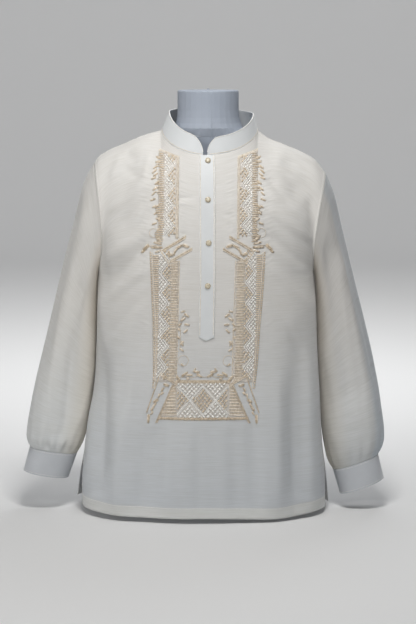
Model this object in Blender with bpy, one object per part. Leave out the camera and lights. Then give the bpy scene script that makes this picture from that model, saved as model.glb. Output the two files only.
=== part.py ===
"""A barong tagalog shirt, worn by a limbless dress form that stands on its flat base.

Metres, +Z up, the shirt faces -Y. The origin is the middle of the form's base.
Each panel is a wall of cloth: its outer points come from a smooth surface, and its
inner points lie one wall thickness behind them.
"""

import math

import bpy
import numpy as np

# Walls and gaps
CLOTH = 0.0012
BAND_CLOTH = 0.0018
SEAM_GAP = 0.0003
ARMHOLE_GAP = 0.0005
UP = np.array([0.0, 0.0, 1.0])
BACKWARD = np.array([0.0, 1.0, 0.0])

# The armhole seam's points on each panel, which the sleeve's rings share
ARMHOLE_ROWS = 13

# The two faces of the body: the sign is the way each one looks along Y
FRONT = -1
BACK = 1


class Table:
    """A short table with named columns, read smoothly by its first column."""

    def __init__(self, names, rows):
        self.names = names.split()
        self.columns = dict(zip(self.names, np.array(rows, float).T))
        self.key = self.columns[self.names[0]]

    def read(self, name, at):
        """Cubic curve through one column, held level past its ends."""
        values = self.columns[name]
        slopes = np.gradient(values, self.key)
        at = np.clip(at, self.key[0], self.key[-1])
        i = np.clip(np.searchsorted(self.key, at, side="right") - 1, 0, len(self.key) - 2)
        span = self.key[i + 1] - self.key[i]
        t = (at - self.key[i]) / span
        return (
            (1 + 2 * t) * (1 - t) ** 2 * values[i]
            + t * (1 - t) ** 2 * span * slopes[i]
            + t * t * (3 - 2 * t) * values[i + 1]
            - t * t * (1 - t) * span * slopes[i + 1]
        )

    def rows(self):
        """The rows as dictionaries."""
        return [
            {name: float(self.columns[name][k]) for name in self.names}
            for k in range(len(self.key))
        ]


# The hanging body: how far its outer surface reaches each way at a height
BODY = Table(
    "height left right front back middle",
    [
        (0.000, 0.2505, 0.2330, 0.141, 0.128, -0.002),
        (0.080, 0.2480, 0.2320, 0.141, 0.126, -0.002),
        (0.155, 0.2385, 0.2250, 0.140, 0.123, -0.002),
        (0.255, 0.2235, 0.2195, 0.139, 0.118, -0.002),
        (0.355, 0.2180, 0.2150, 0.138, 0.115, -0.002),
        (0.420, 0.2160, 0.2125, 0.138, 0.116, -0.001),
        (0.475, 0.2135, 0.2085, 0.137, 0.119, 0.000),
    ],
)
UNDERARM_HEIGHT = 0.475
SECTION_FULLNESS = 2.35
SIDE_SEAM_Y = 0.004

# The hem's height above the base, from the left side seam (-1) to the right (1)
FRONT_HEM = Table(
    "across height",
    [(-1, 0.0150), (-0.7, 0.0120), (-0.3, 0.0095), (0, 0.0100), (0.4, 0.0065), (0.75, 0.0105), (1, 0.0080)],
)
BACK_HEM = Table("across height", [(-1, 0.0180), (-0.4, 0.0130), (0.3, 0.0110), (1, 0.0080)])
HEM_DEPTH = 0.0225
HEM_RAISE = 0.0007
FACING_WIDTH = 0.052
VENT_TOP = 0.135

# The side vents: how far each panel's edge stands from the side seam at the hem
VENT = {
    (FRONT, -1): {"along_y": 0.006, "outward": -0.002},
    (FRONT, 1): {"along_y": 0.006, "outward": 0.001},
    (BACK, -1): {"along_y": 0.044, "outward": 0.014},
    (BACK, 1): {"along_y": 0.020, "outward": 0.010},
}

# Shoulder ridge, from the neck outward: height at a distance from the middle
RIDGE = {
    -1: Table(
        "reach height",
        [
            (0.0894, 0.7500),
            (0.1300, 0.7380),
            (0.1630, 0.7235),
            (0.2000, 0.7065),
            (0.2130, 0.6970),
            (0.2210, 0.6860),
        ],
    ),
    1: Table(
        "reach height",
        [
            (0.0980, 0.7500),
            (0.1140, 0.7375),
            (0.1490, 0.7225),
            (0.1845, 0.7070),
            (0.2130, 0.6890),
            (0.2310, 0.6650),
        ],
    ),
}
NECK_POINT_Y = 0.000
SHOULDER_POINT_Y = 0.012
NECK_SHARE = 0.28
NECK_BLEND = 0.20
NECK_FRONT_HEIGHT = 0.7065
NECK_BACK_HEIGHT = 0.7560
NECK_FRONT_Y = -0.086
NECK_BACK_Y = 0.066
NECK_MIDDLE = -0.002

# How far round the upper panel has turned from upright where it meets its top edge
TURN_AT_NECKLINE = math.radians(52)
TURN_AT_SHOULDER = math.radians(80)

# Armholes: half the seam's depth along Y, and how far it is scooped towards the middle
ARMHOLE = {
    -1: {"front": 0.066, "back": 0.070, "scoop": 0.0105},
    1: {"front": 0.066, "back": 0.070, "scoop": 0.008},
}
UNDERARM_Y = SIDE_SEAM_Y

# Sleeves, from armhole to cuff: the outer and the inner line, seen from the front, and the depth
SLEEVE = {
    -1: Table(
        "share outer_reach outer_height inner_reach inner_height middle_y half_depth",
        [
            (0.00, 0.2210, 0.6860, 0.2135, 0.4750, 0.008, 0.066),
            (0.10, 0.2420, 0.6470, 0.2200, 0.4530, 0.022, 0.071),
            (0.22, 0.2650, 0.5660, 0.2180, 0.4080, 0.038, 0.074),
            (0.38, 0.2900, 0.4720, 0.2150, 0.3480, 0.048, 0.073),
            (0.54, 0.3140, 0.3720, 0.2180, 0.2850, 0.047, 0.069),
            (0.70, 0.3350, 0.2850, 0.2255, 0.2230, 0.040, 0.064),
            (0.84, 0.3510, 0.2090, 0.2345, 0.1700, 0.026, 0.058),
            (0.93, 0.3590, 0.1560, 0.2440, 0.1400, 0.015, 0.051),
            (0.97, 0.3585, 0.1400, 0.2500, 0.1270, 0.010, 0.044),
            (1.00, 0.3530, 0.1245, 0.2590, 0.1110, 0.008, 0.036),
        ],
    ),
    1: Table(
        "share outer_reach outer_height inner_reach inner_height middle_y half_depth",
        [
            (0.00, 0.2310, 0.6650, 0.2085, 0.4750, 0.008, 0.066),
            (0.10, 0.2480, 0.6260, 0.2160, 0.4510, 0.022, 0.071),
            (0.22, 0.2650, 0.5600, 0.2135, 0.4050, 0.038, 0.074),
            (0.38, 0.2900, 0.4600, 0.2110, 0.3450, 0.048, 0.073),
            (0.54, 0.3135, 0.3680, 0.2135, 0.2820, 0.047, 0.069),
            (0.70, 0.3325, 0.2850, 0.2200, 0.2190, 0.040, 0.064),
            (0.84, 0.3450, 0.2080, 0.2260, 0.1620, 0.026, 0.058),
            (0.93, 0.3505, 0.1530, 0.2330, 0.1200, 0.015, 0.051),
            (0.97, 0.3480, 0.1300, 0.2390, 0.0980, 0.010, 0.044),
            (1.00, 0.3390, 0.1090, 0.2490, 0.0785, 0.008, 0.036),
        ],
    ),
}
SLEEVE_FULLNESS = 2.15
ARMHOLE_BLEND = 0.30

# Cuffs: the lower edge's outer and inner point, and the lap that buttons behind the wrist
CUFF = {
    -1: {"outer": (0.3660, 0.0765), "inner": (0.2765, 0.0620), "middle_y": 0.008, "half_depth": 0.037},
    1: {"outer": (0.3510, 0.0610), "inner": (0.2637, 0.0290), "middle_y": 0.008, "half_depth": 0.037},
}
CUFF_START = math.radians(292)
CUFF_LAP = math.radians(34)
CUFF_RISE = math.radians(38)

# Collar band: its lean, its height round the neck, and the curved ends above the opening
COLLAR_HEIGHT = Table("round height", [(-1, 0.0345), (-0.5, 0.0370), (0, 0.0365), (0.5, 0.0320), (1, 0.0340)])
COLLAR_LEAN = Table("round inward", [(-1, 0.0060), (-0.5, 0.0150), (0, 0.0080), (0.5, 0.0085), (1, 0.0050)])
COLLAR_END = {-1: {"from_middle": 0.0065, "curve": 0.019}, 1: {"from_middle": 0.0020, "curve": 0.019}}
COLLAR_TIP = 0.0018

# Front opening: the slit, the two plackets over and under it, and the buttons down it
SLIT_SHARE = 0.0030
PLACKET_SHARE = 0.0430
SLIT_BOTTOM = 0.388
PLACKET_BOTTOM = 0.3640
PLACKET_POINT = 0.0070
BUTTON_HEIGHTS = (0.6975, 0.6240, 0.5425, 0.4610)
BUTTON_OFFSETS = (0.0008, 0.0010, 0.0022, 0.0006)
BUTTON_RADIUS = 0.0056
BUTTON_PROFILE = (
    (0.30, 0.0027),
    (0.58, 0.0024),
    (0.82, 0.0018),
    (0.96, 0.0011),
    (1.00, 0.0006),
    (0.86, 0.0000),
)

# Embroidered bib: raised bands, in shares across the front and heights above the base
BAND_EDGES = (0.170, 0.325)
BAND_TOP = 0.700
BIB_BOTTOM = 0.205
BIB_TOP = 0.286
BIB_EDGE = 0.28
EMBROIDERY = 0.0009

# Soft folds in the front, seen from the front: from one point to another, positive is outward
FRONT_FOLDS = Table(
    "from_x from_z to_x to_z width depth",
    [
        (-0.070, 0.700, -0.185, 0.500, 0.020, 0.0040),
        (-0.150, 0.690, -0.165, 0.560, 0.018, -0.0040),
        (-0.120, 0.600, -0.200, 0.430, 0.022, -0.0050),
        (-0.075, 0.560, -0.175, 0.330, 0.026, 0.0050),
        (-0.200, 0.300, -0.215, 0.040, 0.020, -0.0060),
        (-0.165, 0.240, -0.180, 0.020, 0.024, 0.0060),
        (-0.100, 0.190, -0.115, 0.010, 0.026, -0.0050),
        (-0.030, 0.200, -0.040, 0.010, 0.030, 0.0050),
        (0.045, 0.190, 0.060, 0.010, 0.026, -0.0040),
        (0.120, 0.250, 0.125, 0.010, 0.026, 0.0060),
        (0.175, 0.330, 0.180, 0.020, 0.022, -0.0070),
        (0.205, 0.280, 0.212, 0.040, 0.016, 0.0040),
        (0.110, 0.640, 0.200, 0.560, 0.022, 0.0050),
        (0.100, 0.570, 0.195, 0.440, 0.024, -0.0050),
        (0.085, 0.480, 0.170, 0.360, 0.022, 0.0040),
        (0.150, 0.700, 0.175, 0.620, 0.018, -0.0040),
    ],
)
BACK_FOLDS = Table(
    "from_x from_z to_x to_z width depth",
    [
        (-0.060, 0.690, -0.120, 0.480, 0.026, 0.0050),
        (-0.150, 0.600, -0.175, 0.380, 0.024, -0.0060),
        (0.000, 0.640, 0.005, 0.380, 0.030, -0.0050),
        (0.070, 0.690, 0.125, 0.470, 0.026, 0.0050),
        (0.160, 0.600, 0.170, 0.360, 0.022, -0.0060),
        (-0.180, 0.330, -0.195, 0.030, 0.026, 0.0070),
        (-0.110, 0.360, -0.120, 0.020, 0.026, -0.0080),
        (-0.040, 0.330, -0.045, 0.010, 0.028, 0.0080),
        (0.035, 0.350, 0.040, 0.010, 0.026, -0.0070),
        (0.110, 0.330, 0.115, 0.010, 0.026, 0.0080),
        (0.175, 0.340, 0.185, 0.030, 0.022, -0.0060),
    ],
)

# Folds along the sleeves: the angle round from the outer line (90 is the front), the stretch
# of the sleeve that each one crosses, its half width in degrees, and its depth
SLEEVE_FOLDS = {
    -1: Table(
        "angle start end half_width depth",
        [
            (28, 0.10, 0.75, 20, -0.0050),
            (62, 0.05, 0.95, 22, 0.0045),
            (105, 0.20, 0.98, 22, -0.0060),
            (140, 0.35, 0.90, 16, 0.0040),
            (215, 0.25, 0.95, 22, -0.0060),
            (255, 0.10, 0.80, 20, 0.0050),
            (305, 0.15, 0.95, 22, -0.0050),
            (75, 0.90, 1.00, 9, -0.0040),
            (120, 0.91, 1.00, 8, -0.0040),
        ],
    ),
    1: Table(
        "angle start end half_width depth",
        [
            (30, 0.05, 0.80, 18, -0.0045),
            (58, 0.20, 0.96, 18, 0.0045),
            (92, 0.10, 0.85, 20, -0.0055),
            (128, 0.40, 0.98, 20, 0.0050),
            (210, 0.20, 0.90, 22, -0.0060),
            (250, 0.10, 0.95, 20, 0.0050),
            (300, 0.25, 0.90, 22, -0.0050),
            (40, 0.90, 1.00, 8, -0.0045),
            (100, 0.91, 1.00, 9, -0.0035),
        ],
    ),
}

# The form, as worn by the shirt: half width, and depth to the front and back, at each height
FORM = Table(
    "height half_width front back",
    [
        (0.000, 0.160, 0.082, 0.088),
        (0.050, 0.165, 0.086, 0.092),
        (0.120, 0.166, 0.088, 0.092),
        (0.200, 0.156, 0.088, 0.082),
        (0.290, 0.146, 0.092, 0.074),
        (0.380, 0.154, 0.102, 0.080),
        (0.470, 0.170, 0.112, 0.090),
        (0.550, 0.182, 0.113, 0.095),
        (0.610, 0.188, 0.103, 0.092),
        (0.650, 0.192, 0.088, 0.083),
        (0.680, 0.193, 0.073, 0.070),
    ],
)
FORM_CREST_END = 0.182
FORM_CREST_START = 0.083
FORM_FULLNESS = 2.2
NECK_RADIUS = 0.0592
NECK_CENTRE = (0.0012, -0.008)
NECK_TOP = 0.8275
NECK_EDGE = 0.003
STUD_RADIUS = 0.0022
STUD_HEIGHT = 0.0030
CREST_CLEARANCE = 0.0026

COLOURS = {
    "cloth": (0.86, 0.85, 0.82, 0.62),
    "band": (0.90, 0.91, 0.91, 0.55),
    "thread": (0.78, 0.68, 0.54, 0.50),
    "button": (0.80, 0.70, 0.50, 0.25),
    "form": (0.80, 0.83, 0.88, 0.45),
}


def ease(share):
    """Smooth step from 0 to 1."""
    share = np.clip(share, 0, 1)
    return share * share * (3 - 2 * share)


def unit(vectors):
    """The vectors scaled to length one."""
    return vectors / np.maximum(np.linalg.norm(vectors, axis=-1, keepdims=True), 1e-12)


def vent_share(height):
    """How far open the side vent is at a height: 0 at its top, 1 at the hem."""
    return np.clip((VENT_TOP - height) / VENT_TOP, 0, 1) ** 1.4


def by_side(across, left, right):
    """Takes the left or the right value, by which side of the middle a point is on."""
    return np.where(across < 0, left, right)


def hanging_point(face, across, height):
    """A point of the body below the underarm, across from -1 (left seam) to 1 (right seam)."""
    turn = np.abs(across) * math.pi / 2
    sine, cosine = np.sin(turn), np.cos(turn)
    fuller = (sine**SECTION_FULLNESS + cosine**SECTION_FULLNESS) ** (1 / SECTION_FULLNESS)
    open_share = vent_share(height)
    outward = by_side(across, VENT[face, -1]["outward"], VENT[face, 1]["outward"]) * open_share
    along_y = by_side(across, VENT[face, -1]["along_y"], VENT[face, 1]["along_y"]) * open_share
    reach = by_side(across, -BODY.read("left", height), BODY.read("right", height))
    reach = reach + np.sign(across) * outward * np.abs(across) ** 3
    middle = BODY.read("middle", height)
    depth = BODY.read("front" if face == FRONT else "back", height)
    edge_y = SIDE_SEAM_Y + face * (SEAM_GAP / 2 + along_y)
    x = middle + (reach - middle) * sine / fuller
    y = edge_y + (face * depth - edge_y) * cosine / fuller
    return np.stack([x, y, height + 0 * x], axis=-1)


def neckline_point(face, side, share):
    """A point of the neckline seam, from the middle (share 0) to the neck point (share 1)."""
    turn = math.pi / 2 * (0.6 * share + 0.4 * share**3)
    neck_point = RIDGE[-1].key[0], RIDGE[1].key[0]
    reach = np.where(side < 0, -neck_point[0], neck_point[1])
    middle_y = NECK_FRONT_Y if face == FRONT else NECK_BACK_Y
    middle_z = NECK_FRONT_HEIGHT if face == FRONT else NECK_BACK_HEIGHT
    side_z = RIDGE[1].columns["height"][0]
    side_y = NECK_POINT_Y + face * SEAM_GAP / 2
    x = NECK_MIDDLE + (reach - NECK_MIDDLE) * np.sin(turn)
    y = side_y + (middle_y - side_y) * np.cos(turn)
    z = side_z + (middle_z - side_z) * np.cos(turn) ** 1.15
    return np.stack([x, y, z], axis=-1)


def ridge_point(face, side, share):
    """A point of the shoulder seam, from the neck point (share 0) to the shoulder point (share 1)."""
    points = []
    for sign in (-1, 1):
        start, end = RIDGE[sign].key[0], RIDGE[sign].key[-1]
        reach = start + (end - start) * share
        points.append((sign * reach, RIDGE[sign].read("height", reach)))
    x = np.where(side < 0, points[0][0], points[1][0])
    z = np.where(side < 0, points[0][1], points[1][1])
    y = NECK_POINT_Y + (SHOULDER_POINT_Y - NECK_POINT_Y) * share
    y = y + face * SEAM_GAP / 2
    return np.stack([x, y, z], axis=-1)


def top_point(face, across):
    """The panel's top edge: the neckline near the middle, the shoulder seam beyond it."""
    share = np.abs(across)
    on_neckline = neckline_point(face, across, np.clip(share / NECK_SHARE, 0, 1))
    on_ridge = ridge_point(face, across, np.clip((share - NECK_SHARE) / (1 - NECK_SHARE), 0, 1))
    return np.where((share <= NECK_SHARE)[..., None], on_neckline, on_ridge)


def softened_top(face, across):
    """The top edge with its corner at the neck point rounded off, for the cloth well below it."""
    spread = NECK_BLEND * np.minimum(1, (1 - np.abs(across)) / 0.3)
    offsets = np.linspace(-1, 1, 9)
    weights = np.cos(offsets * math.pi / 2.4) ** 2
    total = 0
    for offset, weight in zip(offsets, weights / weights.sum()):
        total = total + weight * top_point(face, across + offset * spread)
    return total


def armhole_point(side, turn):
    """The armhole seam: turn 0 is the shoulder point, 90 degrees its front, 180 the underarm."""
    top_reach = RIDGE[side].key[-1]
    top_height = RIDGE[side].columns["height"][-1]
    low_reach = BODY.columns["left" if side < 0 else "right"][-1]
    fall = (1 - np.cos(turn)) / 2
    sine = np.sin(turn)
    scoop = ARMHOLE[side]["scoop"] * sine**2 * (0.5 + fall)
    depth = np.where(sine > 0, ARMHOLE[side]["front"], ARMHOLE[side]["back"])
    x = side * (top_reach + (low_reach - top_reach) * fall - scoop)
    y = SHOULDER_POINT_Y + (UNDERARM_Y - SHOULDER_POINT_Y) * fall - depth * sine
    z = top_height + (UNDERARM_HEIGHT - top_height) * fall
    return np.stack([x, y, z], axis=-1)


def upper_point(face, across, rise):
    """A point of the panel above the underarm, rise 0 there and 1 at its top edge."""
    low = hanging_point(face, across, UNDERARM_HEIGHT + 0 * across)
    soft = softened_top(face, across)
    top = soft + (top_point(face, across) - soft) * (rise**4)[..., None]
    reach = np.abs(across)
    turn = TURN_AT_NECKLINE + (TURN_AT_SHOULDER - TURN_AT_NECKLINE) * ease(reach / (2 * NECK_SHARE))
    back = (1 - np.cos(turn * rise)) / (1 - np.cos(turn))
    up = np.sin(turn * rise) / np.sin(turn)
    shares = np.stack([rise, back, up], axis=-1)
    point = low + (top - low) * shares
    seam = []
    for side in (-1, 1):
        edge = hanging_point(face, np.array(float(side)), np.array(UNDERARM_HEIGHT))
        end = armhole_point(side, np.array(0.0))
        back_edge = (1 - np.cos(TURN_AT_SHOULDER * rise)) / (1 - math.cos(TURN_AT_SHOULDER))
        up_edge = np.sin(TURN_AT_SHOULDER * rise) / math.sin(TURN_AT_SHOULDER)
        plain = edge + (end - edge) * np.stack([rise, back_edge, up_edge], axis=-1)
        turn_here = -face * math.pi * (1 - rise)
        half_gap = np.array([0, face * SEAM_GAP / 2, 0])
        seam.append(armhole_point(side, turn_here) + half_gap - plain)
    pull = np.where((across < 0)[..., None], seam[0], seam[1])
    return point + pull * (reach**3)[..., None]


def fold_relief(folds, x, z):
    """The sum of soft ridges and troughs, each along its own line."""
    total = 0 * x
    for fold in folds.rows():
        start = np.array([fold["from_x"], fold["from_z"]])
        way = np.array([fold["to_x"], fold["to_z"]]) - start
        length = np.linalg.norm(way)
        along = ((x - start[0]) * way[0] + (z - start[1]) * way[1]) / length**2
        aside = ((x - start[0]) * way[1] - (z - start[1]) * way[0]) / length
        fade = ease((along + 0.25) / 0.5) * ease((1.25 - along) / 0.5)
        total = total + fold["depth"] * fade * np.exp(-((aside / fold["width"]) ** 2))
    return total


def smooth_panel(face, across, rise):
    """The panel without folds: rise 0 is the hem, 1 the underarm and 2 the top edge."""
    hem = (FRONT_HEM if face == FRONT else BACK_HEM).read("height", across)
    height = hem + (UNDERARM_HEIGHT - hem) * np.clip(rise, 0, 1)
    lower = hanging_point(face, across, height)
    upper = upper_point(face, across, np.clip(rise - 1, 0, 1))
    return np.where((rise <= 1)[..., None], lower, upper)


def panel_normals(face, across, rise):
    """Outward directions of the smooth panel."""
    step = 0.004
    left = smooth_panel(face, np.clip(across - step, -1, 1), rise)
    right = smooth_panel(face, np.clip(across + step, -1, 1), rise)
    low = smooth_panel(face, across, np.clip(rise - step, 0, 2))
    high = smooth_panel(face, across, np.clip(rise + step, 0, 2))
    return unit(-face * np.cross(right - left, high - low))


def panel_surface(face, across, rise):
    """Outer points and outward directions of the front or the back."""
    points = smooth_panel(face, across, rise)
    normals = panel_normals(face, across, rise)
    at_side = ease((1 - np.abs(across)) / 0.12)
    at_top = ease((2 - rise) / 0.25)
    at_placket = 1.0
    if face == FRONT:
        shown = (rise > 0.6) * 1.0
        at_placket = 1 - shown * (1 - ease((np.abs(across) - PLACKET_SHARE) / 0.10))
    folds = FRONT_FOLDS if face == FRONT else BACK_FOLDS
    relief = fold_relief(folds, points[..., 0], points[..., 2]) * at_side * at_top * at_placket
    return points + normals * relief[..., None], normals


def armhole_normal(side, turn):
    """The direction shared by the body and the sleeve along the armhole seam."""
    step = 0.01
    along = armhole_point(side, turn + step) - armhole_point(side, turn - step)
    across_seam = np.stack([side + 0 * turn, 0 * turn, -0.6 * np.clip(np.cos(turn), 0, 1) ** 2], axis=-1)
    return unit(side * np.cross(across_seam, along) * -1)


def sleeve_seam(side, turn):
    """The sleeve's own edge: the armhole seam, one seam's gap away from the panels."""
    step = 0.01
    along = armhole_point(side, turn + step) - armhole_point(side, turn - step)
    away = unit(np.cross(armhole_normal(side, turn), along))
    away = away * np.sign(away[..., :1]) * side
    return armhole_point(side, turn) + away * ARMHOLE_GAP


def neckline_normal(points):
    """The direction shared by the panels and the collar along the neckline."""
    flat = points - np.array([NECK_MIDDLE, -0.010, 0])
    flat = flat * np.array([1, 1, 0])
    return unit(unit(flat) * 0.78 + UP * 0.62)


def share_seam_directions(face, across, rise, normals):
    """Gives the edge points the same wall direction as the piece that they are sewn to."""
    for row in range(len(rise)):
        for edge, side in ((0, -1), (-1, 1)):
            if rise[row, edge] < 1 - 1e-6:
                normals[row, edge] = (side, 0, 0)
            else:
                turn = np.array(-face * math.pi * (2 - rise[row, edge]))
                normals[row, edge] = armhole_normal(side, turn)
    top = len(rise) - 1
    points = smooth_panel(face, across, rise)
    reach = np.abs(across[top])
    on_neck = reach <= NECK_SHARE + 1e-9
    normals[top, on_neck] = neckline_normal(points[top, on_neck])
    for column in np.where(~on_neck)[0][1:-1]:
        run = points[top, column + 1] - points[top, column - 1]
        normals[top, column] = unit(np.cross(run, BACKWARD) * (1, 0, 1))
    return normals


def make_material(name):
    """A plain surface in the cloth's or the form's own colour."""
    red, green, blue, rough = COLOURS[name]
    material = bpy.data.materials.new(name)
    material.use_nodes = True
    shader = material.node_tree.nodes["Principled BSDF"]
    shader.inputs["Base Color"].default_value = (red, green, blue, 1)
    shader.inputs["Roughness"].default_value = rough
    shader.inputs["Metallic"].default_value = 0.0
    return material


def make_object(name, points, faces, colour):
    """One named object from points and triangles."""
    mesh = bpy.data.meshes.new(name)
    mesh.from_pydata([tuple(map(float, p)) for p in points], [], faces)
    mesh.validate()
    mesh.shade_smooth()
    mesh.set_sharp_from_angle(angle=math.radians(50))
    mesh.materials.append(bpy.data.materials.get(colour) or make_material(colour))
    obj = bpy.data.objects.new(name, mesh)
    bpy.context.scene.collection.objects.link(obj)
    return obj


def wall_faces(cells, rows, columns, closed, flip, on_right):
    """Triangles of a wall: its outer side, its inner side and the rims along every open edge."""
    count = rows * columns
    faces = []
    edges = {}
    for row, column in cells:
        after = (column + 1) % columns if closed else column + 1
        corners = [
            row * columns + column,
            row * columns + after,
            (row + 1) * columns + after,
            (row + 1) * columns + column,
        ]
        if flip:
            corners = [corners[1], corners[0], corners[3], corners[2]]
        a, b, c, d = corners
        across_fold = on_right[row, column] != flip
        halves = ((a, b, d), (b, c, d)) if across_fold else ((a, b, c), (a, c, d))
        for outer in halves:
            faces.append(outer)
            faces.append(tuple(count + k for k in reversed(outer)))
        for start, end in ((a, b), (b, c), (c, d), (d, a)):
            edges[start, end] = edges.get((start, end), 0) + 1
    for start, end in edges:
        if (end, start) not in edges:
            faces.append((start, start + count, end + count))
            faces.append((start, end + count, end))
    return faces


def make_wall(name, outer, inner, colour, closed=False, cells=None):
    """A closed wall from a grid of outer points and the matching grid of inner points."""
    rows, columns = outer.shape[:2]
    along, up = outer[:-1, 1:] - outer[:-1, :-1], outer[1:, :-1] - outer[:-1, :-1]
    flip = (np.cross(along, up) * (outer - inner)[:-1, :-1]).sum() < 0
    if cells is None:
        last = columns if closed else columns - 1
        cells = [(row, column) for row in range(rows - 1) for column in range(last)]
    points = np.concatenate([outer.reshape(-1, 3), inner.reshape(-1, 3)])
    on_right = outer[..., 0] + np.roll(outer[..., 0], -1, axis=1) > 0
    faces = wall_faces(cells, rows, columns, closed, flip, on_right)
    used = sorted({k for face in faces for k in face})
    place = {k: i for i, k in enumerate(used)}
    faces = [tuple(place[k] for k in face) for face in faces]
    return make_object(name, points[used], faces, colour)


def panel_columns(face):
    """Where the panel's lines of points run, from -1 to 1, close together along the facings."""
    facing = [1 - FACING_WIDTH - 0.008, 1 - FACING_WIDTH]
    outer = list(np.linspace(BAND_EDGES[1], facing[0], 8))
    if face == FRONT:
        inner = [SLIT_SHARE, PLACKET_SHARE, 0.105, BAND_EDGES[0], 0.225, NECK_SHARE]
        half = inner + outer + facing[1:] + [1.0]
        return np.array([-k for k in reversed(half)] + half)
    half = [0.07, 0.14, 0.21, NECK_SHARE] + outer + facing[1:] + [1.0]
    return np.array([-k for k in reversed(half)] + [0.0] + half)


def panel_rows(face):
    """Where the panel's rows run: 0 is the hem, 1 the underarm, 2 the top edge."""
    rise = [0.0, (HEM_DEPTH - 0.002) / UNDERARM_HEIGHT, HEM_DEPTH / UNDERARM_HEIGHT]
    if face == FRONT:
        heights = [0.066, 0.101, VENT_TOP, 0.170, BIB_BOTTOM, 0.232, 0.259, BIB_TOP]
        heights += [0.310, 0.336, PLACKET_BOTTOM, SLIT_BOTTOM, 0.416, 0.446]
    else:
        heights = [0.066, 0.101, VENT_TOP, 0.18, 0.225, 0.27, 0.315, 0.36, 0.40, 0.44]
    rise += [height / UNDERARM_HEIGHT for height in heights]
    return np.array(rise + list(np.linspace(1, 2, ARMHOLE_ROWS + 1)))


def make_panel(face):
    """The front or the back, with its raised hem, the facings of its vents and, in front, its slit."""
    columns, rows = panel_columns(face), panel_rows(face)
    across, rise = np.meshgrid(columns, rows)
    points, normals = panel_surface(face, across, rise)
    normals = share_seam_directions(face, across, rise, normals)
    in_hem = rise * UNDERARM_HEIGHT <= HEM_DEPTH - 0.001
    in_facing = (np.abs(across) >= 1 - FACING_WIDTH - 0.001) & (rise * UNDERARM_HEIGHT < VENT_TOP - 0.01)
    raised = np.where(in_hem | in_facing, HEM_RAISE, 0.0)
    outer = points + normals * raised[..., None]
    inner = points - normals * CLOTH
    cells = []
    for row in range(len(rows) - 1):
        for column in range(len(columns) - 1):
            middle = (columns[column] + columns[column + 1]) / 2
            above_slit = rows[row] * UNDERARM_HEIGHT >= SLIT_BOTTOM - 0.001 or rows[row] >= 1
            if face == FRONT and abs(middle) < SLIT_SHARE and above_slit:
                continue
            cells.append((row, column))
    name = "front_panel" if face == FRONT else "back_panel"
    make_wall(name, outer, inner, "cloth", cells=cells)
    return across, rise, points, normals


def sleeve_ring(side, share, turn):
    """A ring of the plain tube: turn 0 is its outer line, 90 degrees its front."""
    table = SLEEVE[side]
    outer = table.read("outer_reach", share), table.read("outer_height", share)
    inner = table.read("inner_reach", share), table.read("inner_height", share)
    sine, cosine = np.sin(turn), np.cos(turn)
    n = SLEEVE_FULLNESS
    fuller = (np.abs(sine) ** n + np.abs(cosine) ** n) ** (1 / n)
    x = side * ((outer[0] + inner[0]) / 2 + (outer[0] - inner[0]) / 2 * cosine / fuller)
    z = (outer[1] + inner[1]) / 2 + (outer[1] - inner[1]) / 2 * cosine / fuller
    y = table.read("middle_y", share) - table.read("half_depth", share) * sine / fuller
    return np.stack([x, y, z], axis=-1)


def smooth_sleeve(side, share, turn):
    """The sleeve without folds: the armhole seam at share 0 grows into the tube."""
    seam = sleeve_seam(side, turn)
    blend = 1 - ease(share / ARMHOLE_BLEND)
    start = sleeve_ring(side, 0 * share, turn)
    return sleeve_ring(side, share, turn) + (seam - start) * blend[..., None]


def sleeve_relief(side, share, turn):
    """Lengthwise folds and the pleats at the cuff."""
    total = 0 * share
    degrees = np.degrees(turn)
    for fold in SLEEVE_FOLDS[side].rows():
        away = (degrees - fold["angle"] + 180) % 360 - 180
        fade = ease((share - fold["start"]) / 0.12)
        if fold["end"] < 1:
            fade = fade * ease((fold["end"] - share) / 0.12)
        total = total + fold["depth"] * fade * np.exp(-((away / fold["half_width"]) ** 2))
    return total * ease(share / 0.15) * ease((1.0 - share) / 0.02)


def sleeve_surface(side, share, turn):
    """Outer points and outward directions of a sleeve."""
    step = 0.004
    round_way = smooth_sleeve(side, share, turn + step) - smooth_sleeve(side, share, turn - step)
    low, high = np.clip(share - step, 0, 1), np.clip(share + step, 0, 1)
    down_way = smooth_sleeve(side, high, turn) - smooth_sleeve(side, low, turn)
    normals = unit(side * np.cross(down_way, round_way) * -1)
    points = smooth_sleeve(side, share, turn)
    return points + normals * sleeve_relief(side, share, turn)[..., None], normals


SLEEVE_STATIONS = (0, 0.035, 0.08, 0.13, 0.19, 0.26, 0.34, 0.42, 0.50, 0.58, 0.66, 0.74, 0.81, 0.87)
CUFF_STATIONS = (0.91, 0.94, 0.965, 0.985, 1)


def nearest(points, cloud):
    """For each point, the number of the cloud's nearest point."""
    away = (cloud**2).sum(1)[None, :] - 2 * points @ cloud.T
    return np.argmin(away, axis=1)


def side_cloud(side):
    """Points and outward directions all over one side of the body, for keeping the sleeve off it."""
    reach, rise = np.meshgrid(np.linspace(0.45, 1, 50), np.linspace(0, 1.75, 150))
    surfaces = [panel_surface(face, side * reach, rise) for face in (FRONT, BACK)]
    points = np.concatenate([surface[0].reshape(-1, 3) for surface in surfaces])
    normals = np.concatenate([surface[1].reshape(-1, 3) for surface in surfaces])
    at_armhole = np.tile(((reach > 0.98) & (rise > 1)).ravel(), 2)
    return points, normals, at_armhole


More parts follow.
